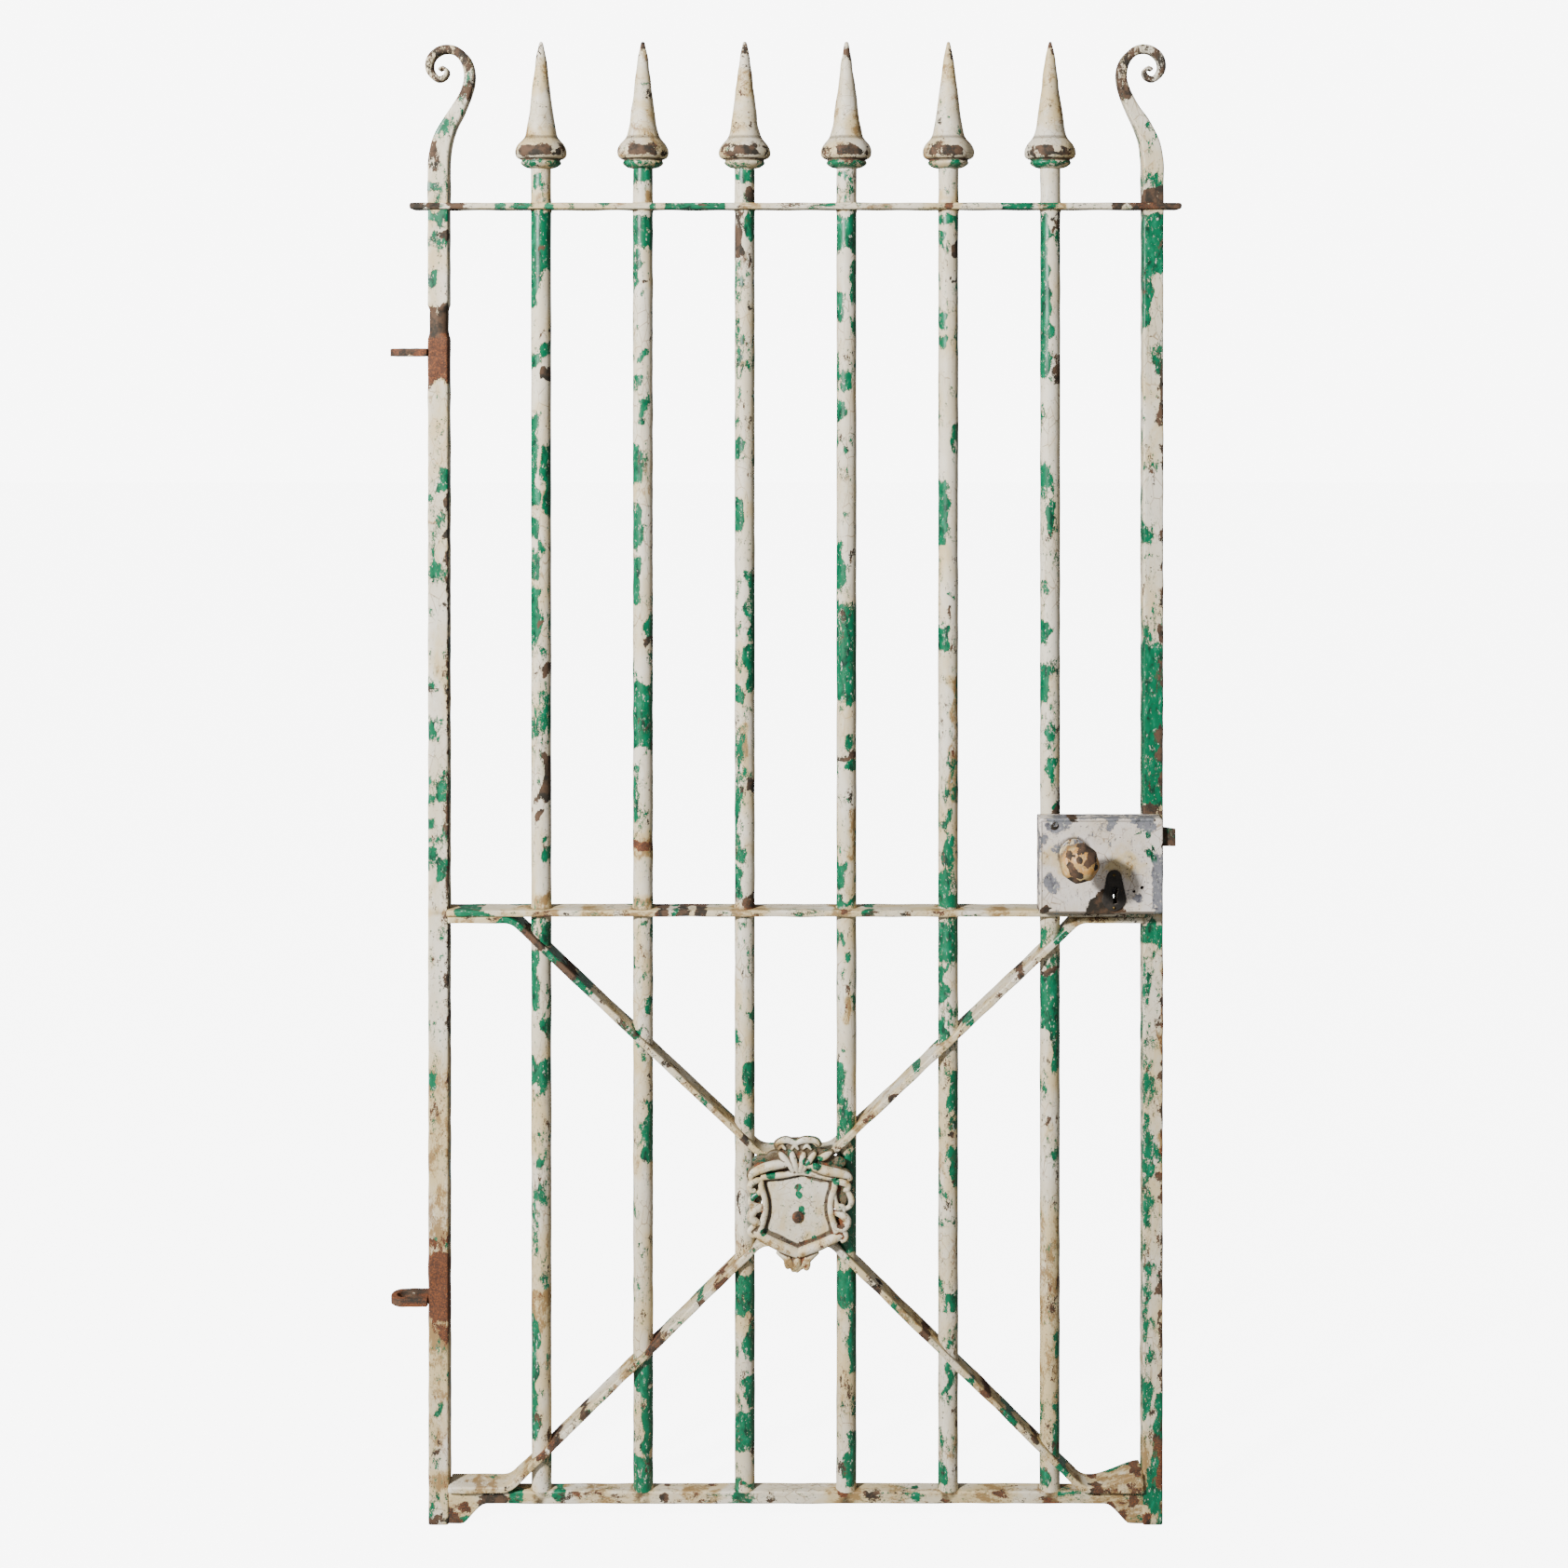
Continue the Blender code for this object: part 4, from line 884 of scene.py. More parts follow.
# the rails, with corner and end rounding in millimetres. Base is the wear everywhere, and a spot is
# (across from the leaf's middle, height, reach) in millimetres. Only the top rail passes the stiles.
flatLump = 0.4
rails = dict(
    top=dict(
        corner=2.2, endRound=3, seed=500, past=True, base=(0.16, 0.1, 0.3),
        green=[
            (-136, 1640, 36), (-100, 1640, 18), (-366, 1640, 10), (-340, 1640, 8), (-305, 1640, 7),
            (262, 1640, 10), (282, 1640, 16),
        ],
        rust=[
            (-470, 1640, 15), (-450, 1641, 12), (-424, 1641, 9), (470, 1641, 16), (448, 1641, 14),
            (425, 1640, 14), (400, 1641, 9), (192, 1644, 7),
        ],
        stain=[(-317, 1645, 24), (-60, 1645, 18), (317, 1645, 22), (190, 1645, 18), (440, 1640, 20)],
    ),
    mid=dict(
        corner=2.2, endRound=1.2, seed=520, past=False, base=(0.13, 0.12, 0.26),
        green=[(-410, 762, 14), (-396, 760, 10), (-150, 760, 8), (90, 761, 9)],
        rust=[(-165, 764, 9), (-140, 762, 11), (-118, 764, 8), (60, 765, 6)],
        stain=[
            (-425, 765, 26), (-320, 766, 26), (-250, 765, 20), (-190, 766, 24), (-60, 766, 26),
            (64, 766, 24), (190, 766, 20), (250, 766, 14),
        ],
    ),
    bottom=dict(
        corner=2.5, endRound=1.2, seed=540, past=False, base=(0.16, 0.16, 0.38),
        green=[(-350, 34, 12), (-295, 36, 9), (-70, 36, 8), (150, 34, 7)],
        rust=[
            (-386, 31, 12), (-370, 31, 12), (-162, 34, 8), (-410, 20, 9), (-428, 5, 15), (402, 8, 9),
            (60, 38, 6), (420, 30, 7), (392, 24, 6),
        ],
        stain=[
            (-340, 38, 20), (-250, 36, 26), (-120, 38, 30), (60, 38, 24), (250, 38, 26), (330, 38, 20),
            (418, 18, 50), (388, 36, 26), (-415, 18, 24),
        ],
    ),
)
gusset = dict(foot=415, reach=30, lowest=0.3, rise=24.7)  # the bottom rail's feet, in millimetres
barJoints = [(x, barRadius) for x in barX]
stileJoints = [(x, 14 * mm) for x in (heelX, latchX)]


def railShape(label, plan):
    # a flat section carried across the gate. The bottom rail's underside coves down at its feet: it
    # is lowest + rise * S(t)^0.75, with t from 0 at a foot to 1 where it is level.
    low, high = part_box(label + "_rail")
    start, end = (low.x, high.x) if plan["past"] else (heelX + 11 * mm, latchX - 11 * mm)
    xs = np.linspace(start, end, int((end - start) / (4 * mm)))
    under = np.full(len(xs), low.z)
    if label == "bottom":
        coved = easeIn((gusset["foot"] * mm - np.abs(xs - leafX)) / (gusset["reach"] * mm), 0, 1)
        under = gusset["lowest"] * mm + gusset["rise"] * mm * coved ** 0.75
    stations = np.stack([xs, np.zeros(len(xs)), (under + high.z) / 2], axis=-1)
    return carried(stations, (high.z - under) / 2, high.y, plan["corner"] * mm, plan["endRound"] * mm,
                   sectionParts(4, 7), (flatLump * mm, 0.05, plan["seed"]),
                   sides=np.tile([0.0, 0.0, 1.0], (len(xs), 1)))


for label, plan in rails.items():
    mesh = newMesh(label + "Rail", *railShape(label, plan))
    flatWear(mesh, plan, plan["seed"] + 10, barJoints + stileJoints if plan["past"] else barJoints)
    addPiece(label + "Rail", mesh, railPaint, label + "_rail", sharp=50)

# each brace runs level at its feet, up or down to the middle, and level behind the shield; its last
# inches before the lock side thicken upwards by the rise. The foot is (across, height).
# bend is, in millimetres, where a brace ends and is flat, its corners' reach, and its half thickness,
# half depth, edge rounding and unevenness
bend = dict(end=432, flat=43, round=11, thick=4, deep=19, corner=1.8, lump=0.5)
braces = dict(
    upper=dict(
        foot=(352, 754.2), middle=462, rise=0, base=(0.14, 0.16, 0.38),
        green=[
            (-352, 752, 22), (-300, 700, 26), (-270, 672, 20), (-200, 610, 10), (150, 570, 7),
            (215, 628, 9), (330, 733, 10),
        ],
        rust=[
            (-330, 735, 14), (-286, 690, 15), (-318, 722, 12), (212, 607, 9), (280, 690, 6),
            (-66, 480, 8),
        ],
        stain=[(-365, 757, 20), (365, 757, 26), (90, 505, 30), (-90, 505, 26), (190, 600, 18)],
    ),
    lower=dict(
        foot=(357, 45.3), middle=353, rise=17, base=(0.14, 0.16, 0.38),
        green=[(120, 270, 8), (215, 180, 8), (262, 134, 12), (330, 70, 10), (-120, 285, 6)],
        rust=[
            (424, 66, 7), (372, 44, 8), (-88, 303, 13), (-173, 226, 13), (-300, 104, 12), (-318, 90, 9),
            (-262, 140, 8), (100, 292, 8), (160, 238, 9), (238, 168, 9), (300, 110, 7),
        ],
        stain=[
            (-80, 315, 40), (-200, 205, 40), (-320, 86, 36), (130, 270, 34), (240, 165, 36),
            (340, 66, 30), (-385, 50, 26), (392, 52, 30), (420, 58, 36),
        ],
    ),
)
for label, plan in braces.items():
    footX, footZ = plan["foot"]
    left = [(-bend["end"], footZ), (-footX, footZ), (-bend["flat"], plan["middle"])]
    line = evenly(roundCorners(left + [(-x, z) for x, z in left[::-1]], bend["round"]) * mm, 4 * mm)
    thicker = plan["rise"] / 2 * mm * easeIn(line[:, 0], (footX + 14) * mm, (bend["end"] + 2) * mm)
    stations = np.stack([leafX + line[:, 0], np.zeros(len(line)), line[:, 1] + thicker], axis=-1)
    shape = carried(stations, bend["thick"] * mm + thicker, bend["deep"] * mm, bend["corner"] * mm, 1.2 * mm,
                    sectionParts(4, 7), (bend["lump"] * mm, 0.05, 560 + len(line)))
    mesh = newMesh(label + "Brace", *shape)
    flatWear(mesh, plan, 570 + len(line), barJoints)
    addPiece(label + "Brace", mesh, castPaint, label + "_brace", sharp=50)
print("rails and braces made")

for seed, label in enumerate(("upper", "lower")):
    softPiece(label + "HingeEye", label + "_hinge_eye", castPaint, 0.9, 0.5, 600 + seed,
              (610 + 5 * seed, 0.3, 0.92, 0.7))
print("hinge eyes made")

# the shield: everything in millimetres from its middle, across and up; forward is how far a thing
# stands out from its back. The outline is the right half of its plate, the dome is (share of the
# outline, forward), heavier is how much the rolls are thickened, and green and rust are spots.
shield = dict(
    middle=(3, 402), back=-19.3, voxel=0.85, heavier=1.2,
    outline=[(0, 44), (18, 43), (34, 41), (47, 38), (46, 26), (41.5, 10), (40.5, -4), (43, -18), (50, -32),
             (40, -42), (22, -50), (0, -58)],
    dome=[(0, 0), (1, 0), (1, 5.6), (0.97, 6), (0.9, 6.2), (0.75, 6.5), (0.55, 7), (0.35, 7.4),
          (0.15, 7.6), (0, 7.7)],
    green=[(-30, 445, 7), (27, 462, 7), (27, 454, 6), (13, 459, 5), (17, 448, 5), (3, 427, 5), (4, 416, 4),
           (7, 400, 4), (7, 393, 4), (23, 363, 4), (49, 435, 6), (-52, 416, 6), (-40, 372, 5)],
    rust=[(55, 381, 5), (1, 384, 4)],
)
shieldX, shieldZ = leafX + shield["middle"][0] * mm, shield["middle"][1] * mm


def shieldPoints(across, forward, up):
    return np.stack([shieldX + np.asarray(across) * mm, shield["back"] * mm - np.asarray(forward) * mm,
                     shieldZ + np.asarray(up) * mm], axis=-1)


def shrunk(outlineX, outlineZ, rings, middle=(0, 0)):
    # an outline shrunk towards its middle, ring by ring: rings are (share of its size, forward)
    shares, forward = np.array(rings, float).T
    across = middle[0] + shares[:, None] * outlineX
    up = middle[1] + shares[:, None] * outlineZ
    points = shieldPoints(across, np.tile(forward[:, None], (1, len(outlineX))), up)
    return points.reshape(-1, 3), ringQuads(len(shares), len(outlineX))


def fieldShape():
    # the domed plate in the border
    right = np.array(shield["outline"], float)
    outline = np.concatenate([right, right[-2:0:-1] * [-1, 1]])
    outline = evenly(np.concatenate([outline, outline[:1]]), 2.2)[:-1]
    return shrunk(outline[:, 0], outline[:, 1], shield["dome"])


def padShape(across, up, wide, tall, forward):
    # a flat-backed pebble: an oval whose edge rises steeply and then levels off
    angle = np.linspace(0, 2 * np.pi, 40, endpoint=False)
    rings = [(0, 0), (1, 0), (1, 0.5), (0.97, 0.75), (0.9, 0.88), (0.75, 0.95), (0.5, 0.99), (0.2, 1), (0, 1)]
    rings = [(share, level * forward) for share, level in rings]
    return shrunk(wide * np.cos(angle), tall * np.sin(angle), rings, (across, up))


def roll(rows):
    # a round section carried along rows of (across, up, radius, forward)
    path = evenly(smoothCurve(rows, 10), 1.2)
    radius = path[:, 2] * shield["heavier"] * mm
    return carried(shieldPoints(path[:, 0], path[:, 3], path[:, 1]), radius, radius, radius * 0.98, 0.5 * mm,
                   sectionParts(3, 1))


# rolls as (across, up, radius, forward): border, rolled arms, curls, crest plumes and the pendant
shieldRolls = [
    # the pinched sides
    [(-46, 35, 3.0, 9), (-45, 24, 3.2, 10), (-41, 10, 3.2, 10), (-40.5, -4, 3.4, 10),
     (-43.5, -18, 3.4, 10), (-48, -31, 3.6, 10)],
    [(46, 35, 3.0, 9), (45, 24, 3.2, 10), (41, 10, 3.2, 10), (40.5, -4, 3.4, 10), (43.5, -18, 3.4, 10),
     (48, -31, 3.6, 10)],
    # the wide lower border, meeting in a point
    [(-56, -29, 3.6, 8), (-46, -36, 4.8, 10), (-26, -46, 5.4, 11), (-10, -53, 5.4, 11), (0, -57, 5.0, 11)],
    [(57, -34, 3.6, 8), (46, -38, 4.8, 10), (26, -47, 5.4, 11), (10, -53, 5.4, 11), (0, -57, 5.0, 11)],
    # the upper border
    [(-46, 37, 3.2, 10), (-34, 38.5, 3.4, 10), (-18, 40, 3.2, 10), (3, 43, 2.8, 10), (20, 41, 3.2, 10),
     (34, 38, 3.4, 10), (47, 36, 3.2, 10)],
    # rolled arms that reach out from the plume
    [(-9, 53, 3.0, 11), (-20, 54, 4.4, 12), (-34, 52, 5.0, 13), (-48, 47, 4.6, 12), (-57, 41, 3.8, 11),
     (-58, 34, 2.8, 10)],
    [(9, 53, 3.0, 11), (22, 50, 4.4, 12), (36, 46, 4.8, 13), (50, 43, 4.4, 12), (62, 39, 3.6, 11),
     (65, 33, 2.6, 9)],
    # curls down the left side
    [(-47, 34, 3.0, 10), (-55, 32, 3.6, 11), (-60, 26, 3.2, 11), (-57, 20, 2.6, 11), (-52, 22, 2.0, 11)],
    [(-44, 22, 2.6, 9), (-51, 16, 2.8, 10), (-57, 11, 3.4, 10), (-58, 5, 3.6, 10), (-51, 1, 3.2, 10),
     (-43, 1, 2.6, 9)],
    [(-43, -2, 3.0, 9), (-53, -3, 4.2, 11), (-58, -11, 4.6, 11), (-52, -18, 4.0, 11), (-45, -21, 2.6, 9)],
    [(-45, -22, 2.6, 9), (-55, -24, 2.8, 10), (-60, -30, 3.0, 10), (-55, -35, 3.0, 10),
     (-51, -31, 2.2, 10)],
    # curls down the right side
    [(47, 32, 3.0, 10), (55, 31, 3.4, 11), (62, 27, 3.2, 10), (61, 21, 2.4, 10), (56, 22, 2.0, 10)],
    [(44, 22, 2.6, 9), (46, 8, 2.6, 9), (49, 1, 3.4, 11), (55, 0, 3.2, 10), (56, -6, 2.6, 10),
     (50, -8, 2.2, 10)],
    [(61, 20, 2.4, 9), (66, 10, 3.4, 10), (64, 1, 2.6, 9), (57, -3, 2.2, 9)],
    [(43, -6, 2.6, 9), (54, -9, 4.0, 11), (61, -16, 4.2, 11), (57, -25, 4.2, 11), (48, -26, 3.2, 10),
     (47, -19, 2.2, 9)],
    [(47, -28, 3.0, 9), (57, -31, 3.0, 10), (59, -38, 3.0, 10), (53, -42, 2.8, 10)],
    # the crest: two humps, three small arcs below them, and the ribs of the plume
    [(-25, 72, 3.2, 7), (-26, 79, 3.4, 8), (-15, 83.5, 4.0, 9), (-3, 80, 3.2, 9), (8, 83.5, 4.0, 9),
     (22, 82, 3.8, 8), (27, 75, 3.2, 7)],
    [(-25, 71, 2.0, 9), (-20, 76, 2.1, 10), (-15, 71, 2.0, 9)],
    [(-9, 71, 2.0, 9), (-4, 76.5, 2.2, 10), (1, 71, 2.0, 9)],
    [(5, 71, 2.0, 9), (11, 76.5, 2.1, 10), (17, 71, 2.0, 9)],
    [(-24, 69, 2.6, 8), (-18, 62, 3.4, 11), (-10, 53, 3.4, 12), (-5, 45, 3.0, 11)],
    [(-8, 69, 2.6, 9), (-6, 61, 3.4, 12), (-3, 52, 3.2, 13), (0, 44, 2.8, 11)],
    [(7, 69, 2.6, 9), (6, 61, 3.4, 12), (4, 52, 3.2, 13), (2, 44, 2.8, 11)],
    [(22, 69, 2.6, 8), (17, 62, 3.4, 11), (10, 53, 3.4, 12), (5, 45, 3.0, 11)],
    [(24, 60, 2.6, 8), (32, 63, 4.2, 10), (44, 70, 2.0, 8)],
    # the pendant: a wedge with a curl each side
    [(-25, -54, 3.8, 8), (-15, -62, 4.6, 9), (-7, -72, 4.2, 9), (-5, -81, 2.4, 7)],
    [(24, -54, 3.8, 8), (14, -62, 4.6, 9), (4, -72, 4.2, 9), (-3, -81, 2.4, 7)],
    [(0, -58, 4.6, 9), (-1, -68, 5.2, 10), (-3, -77, 3.8, 8)],
    [(-10, -61, 2.2, 12), (-15, -66, 2.4, 12), (-13, -74, 2.2, 11), (-9, -71, 1.8, 11)],
    [(8, -62, 2.2, 12), (13, -68, 2.4, 12), (11, -76, 2.2, 11), (7, -73, 1.8, 11)],
]
# pads that fill in behind the plume and the curls, as (across, up, reach across, reach up, forward);
# the two at (-42, 55) and (45, 53) lie low so they are painted dark, standing for the shadow in the
# gaps under the rolled arms
shieldPads = [
    (0, 62, 26, 19, 9.5), (-50, 37, 14, 12, 6.5), (54, 34, 14, 12, 6.5), (28, 58, 17, 13, 7),
    (-26, 60, 14, 9, 6.5), (-32, 44, 26, 10, 7), (34, 41, 26, 9, 7), (-42, 55, 15, 8, 5.5),
    (45, 53, 15, 8, 5.5), (-52, 14, 8, 20, 6), (-52, -16, 8, 20, 6), (53, 14, 9, 18, 6),
    (54, -18, 8, 20, 6), (0, -64, 18, 15, 6),
]


def creaseDepth(mesh, rounds):
    # how much a point moves outwards when the mesh is smoothed: large in creases, in metres
    points = coordinates(mesh)
    ends = np.empty(len(mesh.edges) * 2, np.int32)
    mesh.edges.foreach_get("vertices", ends)
    first, second = ends[0::2], ends[1::2]
    count = np.bincount(ends, minlength=len(points))[:, None]
    eased = points
    for _ in range(rounds):
        total = np.stack([np.bincount(first, eased[second, k], len(points))
                          + np.bincount(second, eased[first, k], len(points)) for k in range(3)], axis=-1)
        eased = total / np.maximum(count, 1)
    return ((eased - points) * vertexValues(mesh, "normal")).sum(axis=1)


shieldParts = [fieldShape()] + [roll(rows) for rows in shieldRolls] + [padShape(*pad) for pad in shieldPads]
mesh = modified(newMesh("shield", *together(*shieldParts)),
                ("REMESH", dict(mode="VOXEL", voxel_size=shield["voxel"] * mm)),
                ("SMOOTH", dict(factor=0.5, iterations=1)))
points = coordinates(mesh)
forward = shield["back"] * mm - points[:, 1]
across, up = (points[:, 0] - shieldX) / mm, (points[:, 2] - shieldZ) / mm
beside = np.clip(easeIn(np.abs(across), 37, 45) + easeIn(up, 46, 52) + (1 - easeIn(up, -64, -58)), 0, 1)
ground = (9.6 + 2.8 * easeIn(up, 46, 54)) * mm  # below this level the paint is darkened: painted shade with some grime
low = (1 - easeIn(forward, ground - 2.4 * mm, ground)) * beside
crease = easeIn(creaseDepth(mesh, 30), 0.02 * mm, 0.3 * mm)
nicks = easeIn(-lumps(points, 0.009, 705), 0.2, 0.9) * beside * (1 - easeIn(forward, 9 * mm, 13 * mm))
green = 0.12 + 0.3 * low + 0.14 * lumps(points, 0.012, 700)
green = np.maximum(green, 0.8 * spotShare(points, shield["green"], 701))
rust = 0.13 + 0.18 * lumps(points, 0.014, 702) + 0.3 * crease + 0.9 * spotShare(points, shield["rust"], 703)
border = easeIn(-up, 26, 44) * easeIn(forward, 7.6 * mm, 9 * mm)
stain = 0.16 + 0.25 * lumps(points, 0.02, 704) + 0.25 * low + 0.2 * beside + 0.3 * crease + 0.3 * border
# the fourth value darkens the recesses and creases: painted shade, with some grime
setWear(mesh, green, rust, stain, low + 1.4 * crease + 0.3 * nicks)
addPiece("shieldCasting", mesh, castPaint, "shield_boss")
softPiece("backStrap", "boss_back_strap", castPaint, 0.9, 0.3, 710, (712, 0.3, 0.3, 0.4))
softPiece("shieldRivet", "boss_rivet", castPaint, 0.6, 0.5, 714, (716, 0.25, 0.75, 0.6),
          rounds=8)
print("shield made")

# the rim lock: sizes in millimetres, places from the leaf's middle and the floor. The keyhole is
# (x, z, radius, slot width, slot's lowest), and the spots are its wear; green is worn to bare metal,
# and chips to the older green paint.
lockCase = dict(
    corner=4.0, edge=2.2, wall=1.9, dents=0.35, play=0.5, keyhole=(393, 798, 4.0, 5.0, 781),
    spindle=(342.5, 843, 8.5), oldHoles=[(416, 796.5, 1.9), (426, 801, 2.2)], strip=(438, 460, 766, 846),
    green=[
        (434, 878, 10), (424, 880, 7), (388, 880, 8), (318, 878, 12), (331, 880, 7), (306, 864, 7),
        (322, 848, 8), (312, 810, 9), (318, 803, 9), (421, 786, 6), (404, 883, 4),
    ],
    chips=[(419, 869, 4.5), (433, 866, 4), (434, 843, 5.5), (439, 852, 3.5), (440, 836, 3.5)],
    ochre=[(312, 838, 12), (322, 833, 9), (410, 828, 14), (426, 824, 11), (395, 824, 12), (330, 822, 8)],
    rust=[
        (397, 775, 5), (306, 773, 6), (378, 783, 14), (372, 776, 13), (382, 777, 11), (386, 773, 9),
        (366, 772, 8), (452, 850, 4), (340, 884, 5),
    ],
)


def caseShape():
    # rounded outline(angle) for each ring: up the sides, over a rounded edge, and in across the front
    anchors, normals = sectionParts(6, 14)
    wide, tall = (caseHigh.x - caseLow.x) / 2, (caseHigh.z - caseLow.z) / 2
    edge, corner = lockCase["edge"] * mm, lockCase["corner"] * mm
    turn = np.radians(np.linspace(0, 90, 7))[1:]
    inset = np.concatenate([np.zeros(7), edge * (1 - np.cos(turn))])
    straight = anchors[None] * (np.array([wide, tall]) - corner)
    outer = straight + normals[None] * (corner - inset)[:, None, None]
    shares = np.concatenate([1 - np.linspace(0, 0.2, 13)[1:], np.linspace(0.8, 0, 18)[1:]])
    rings = np.concatenate([outer, outer[-1][None] * shares[:, None, None]])
    rings = rings + np.array([(caseLow.x + caseHigh.x) / 2, (caseLow.z + caseHigh.z) / 2])
    levels = np.concatenate([np.linspace(caseHigh.y, caseLow.y + edge, 7),
                             caseLow.y + edge * (1 - np.sin(turn)), np.full(len(shares), caseLow.y)])
    points = np.stack([rings[..., 0], np.tile(levels[:, None], (1, rings.shape[1])), rings[..., 1]], axis=-1)
    dent = lockCase["dents"] * mm * lumps(points, 0.05, 800) * easeIn(-points[..., 1], 20 * mm, 40 * mm)
    points[..., 1] += np.abs(dent)
    return points.reshape(-1, 3), ringQuads(len(rings), rings.shape[1])


cutDepth = (-35 * mm, -60 * mm)  # cutters for the case's front reach from the first y to the second


def drum(x, z, radius):
    # a round cutter that goes through the case's front
    start, end = (-y for y in cutDepth)
    return turned([(0, start), (radius, start), (radius, end), (0, end)], 28, (x, 0, z), axis="y")


def block(low, high):
    # a box between two corners, as four rings of four points with the ends drawn to a point
    xs, ys, zs = (np.array([low[i], high[i]]) for i in range(3))
    ring = np.array([[(xs[0], ys[0]), (xs[1], ys[0]), (xs[1], ys[1]), (xs[0], ys[1])]] * 4)
    ring[0] = ring[0].mean(axis=0)
    ring[3] = ring[3].mean(axis=0)
    heights = np.array([zs[0], zs[0], zs[1], zs[1]])
    points = np.concatenate([ring, np.tile(heights[:, None, None], (1, 4, 1))], axis=-1)
    return points.reshape(-1, 3), ringQuads(4, 4)


def boltSlot(nodeName):
    # a cutter for a bolt's slot in the case's lock side, with a little play all round
    low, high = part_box(nodeName)
    play = Vector((0, lockCase["play"] * mm, lockCase["play"] * mm))
    low, high = low - play, high + play
    return block((caseHigh.x - 8 * mm, low.y, low.z), (caseHigh.x + 8 * mm, high.y, high.z))


def drilled(mesh, shapes):
    tools = []
    for i, shape in enumerate(shapes):
        tools.append(bpy.data.objects.new(f"cutter{i}", newMesh(f"cutter{i}", *shape)))
        bpy.context.scene.collection.objects.link(tools[-1])
    cut = dict(operation="DIFFERENCE", solver="EXACT")
    made = modified(mesh, *[("BOOLEAN", dict(cut, object=tool)) for tool in tools])
    for tool in tools:
        bpy.data.objects.remove(tool, do_unlink=True)
    return made


keyX, keyZ, keyRadius, keyWide, keyLow = (size * mm for size in lockCase["keyhole"])
keyX = leafX + keyX
knobX, knobZ = leafX + lockCase["spindle"][0] * mm, lockCase["spindle"][1] * mm
shapes = [drum(keyX, keyZ, keyRadius),
          block((keyX - keyWide / 2, cutDepth[1], keyLow), (keyX + keyWide / 2, cutDepth[0], keyZ)),
          drum(knobX, knobZ, lockCase["spindle"][2] * mm), boltSlot("latch_bolt"), boltSlot("deadbolt")]
shapes += [drum(leafX + x * mm, z * mm, radius * mm) for x, z, radius in lockCase["oldHoles"]]
shell = modified(newMesh("lockCaseShell", *caseShape()),
                 ("SOLIDIFY", dict(thickness=lockCase["wall"] * mm, offset=-1)))
mesh = drilled(shell, shapes)
points = coordinates(mesh)
edgeAway = np.minimum(np.minimum(points[:, 0] - caseLow.x, caseHigh.x - points[:, 0]),
                      np.minimum(points[:, 2] - caseLow.z, caseHigh.z - points[:, 2]))
left, right, bottom, top = (size * mm for size in lockCase["strip"])
strip = near(points[:, 0] - leafX, left, right, 4 * mm) * near(points[:, 2], bottom, top, 6 * mm)
chips = spotShare(points, lockCase["chips"], 817)
green = 0.14 + 0.14 * lumps(points, 0.02, 810) + 0.36 * (1 - easeIn(edgeAway, 0, 3 * mm))
for share in (0.85 * spotShare(points, lockCase["green"], 811), 0.72 * strip, 0.9 * chips):
    green = np.maximum(green, share)
rust = 0.08 + 0.14 * lumps(points, 0.03, 812) + 1.1 * spotShare(points, lockCase["rust"], 813)
stain = 0.04 + 0.12 * lumps(points, 0.02, 814) + 0.42 * spotShare(points, lockCase["ochre"], 815)
roseAway = np.hypot(points[:, 0] - knobX, points[:, 2] - knobZ)
# the fourth value darkens as painted shade: a line at the seam, a ring round the rose where it meets the
# case, and the lowest few millimetres, under the case
shadeAndGrime = near(edgeAway, 2.6 * mm, 3.6 * mm, 0.7 * mm) * (points[:, 0] < caseHigh.x - 8 * mm)  # the seam
shadeAndGrime = shadeAndGrime + 0.75 * (1 - easeIn(roseAway, 19 * mm, 24 * mm))
shadeAndGrime = shadeAndGrime + 1 - easeIn(points[:, 2], caseLow.z + 1 * mm, caseLow.z + 5 * mm)
setWear(mesh, green, rust, stain, shadeAndGrime)
older = mesh.attributes.new("older", "FLOAT", "POINT")
older.data.foreach_set("value", easeIn(chips, 0.02, 0.2).astype(np.float32))
addPiece("lockCase", mesh, casePaint, "lock_case", sharp=40)

# the back plate's keyhole is silted up with old paint to all but its lowest part
plateLow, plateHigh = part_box("lock_back_plate")
silted = block((keyX - 5.5 * mm, plateLow.y + 0.3 * mm, keyLow + 6 * mm),
               (keyX + 5.5 * mm, plateHigh.y - 0.3 * mm, keyZ + 5.5 * mm))
softPiece("lockBackPlate", "lock_back_plate", casePaint, 1.0, 0.3, 820, (822, 0.35, 0.3, 0.4),
          filled=silted)

# the knobs: a profile from the face back as (radius, forward of the widest part) in millimetres, and
# the dark spots on it; reach is how far the face stands before that middle
knob = dict(
    reach=20, lump=0.5,
    rows=[
        (0, 20.2), (4, 20.2), (9.2, 19.6), (13.6, 17.6), (18.2, 14.6), (22.6, 9.2), (24.4, 4.4),
        (24.4, -3.6), (22.4, -9.4), (17.8, -14.4), (12.6, -18.2), (9.2, -21.2), (7.8, -24), (7.5, -26),
        (7.4, -29),
    ],
    dark=[
        (345, 864, 8), (356, 855, 8), (332, 836, 7), (329, 843, 5), (352, 847, 6), (341, 832, 5),
        (333, 824, 7), (361, 840, 4), (330, 855, 5), (347, 823, 4), (341, 851, 4),
    ],
)


def flats(profile, angle):
    # the knob's round side worn into eight soft flats: radius / cos(turn from the nearest flat's middle)
    turn = (angle + 0.2) % (np.pi / 4) - np.pi / 8
    share = easeIn(profile[:, :1], 15 * mm, 22 * mm) * 0.75
    return profile[:, :1] * (1 - share + share * np.cos(np.pi / 8) / np.cos(turn))


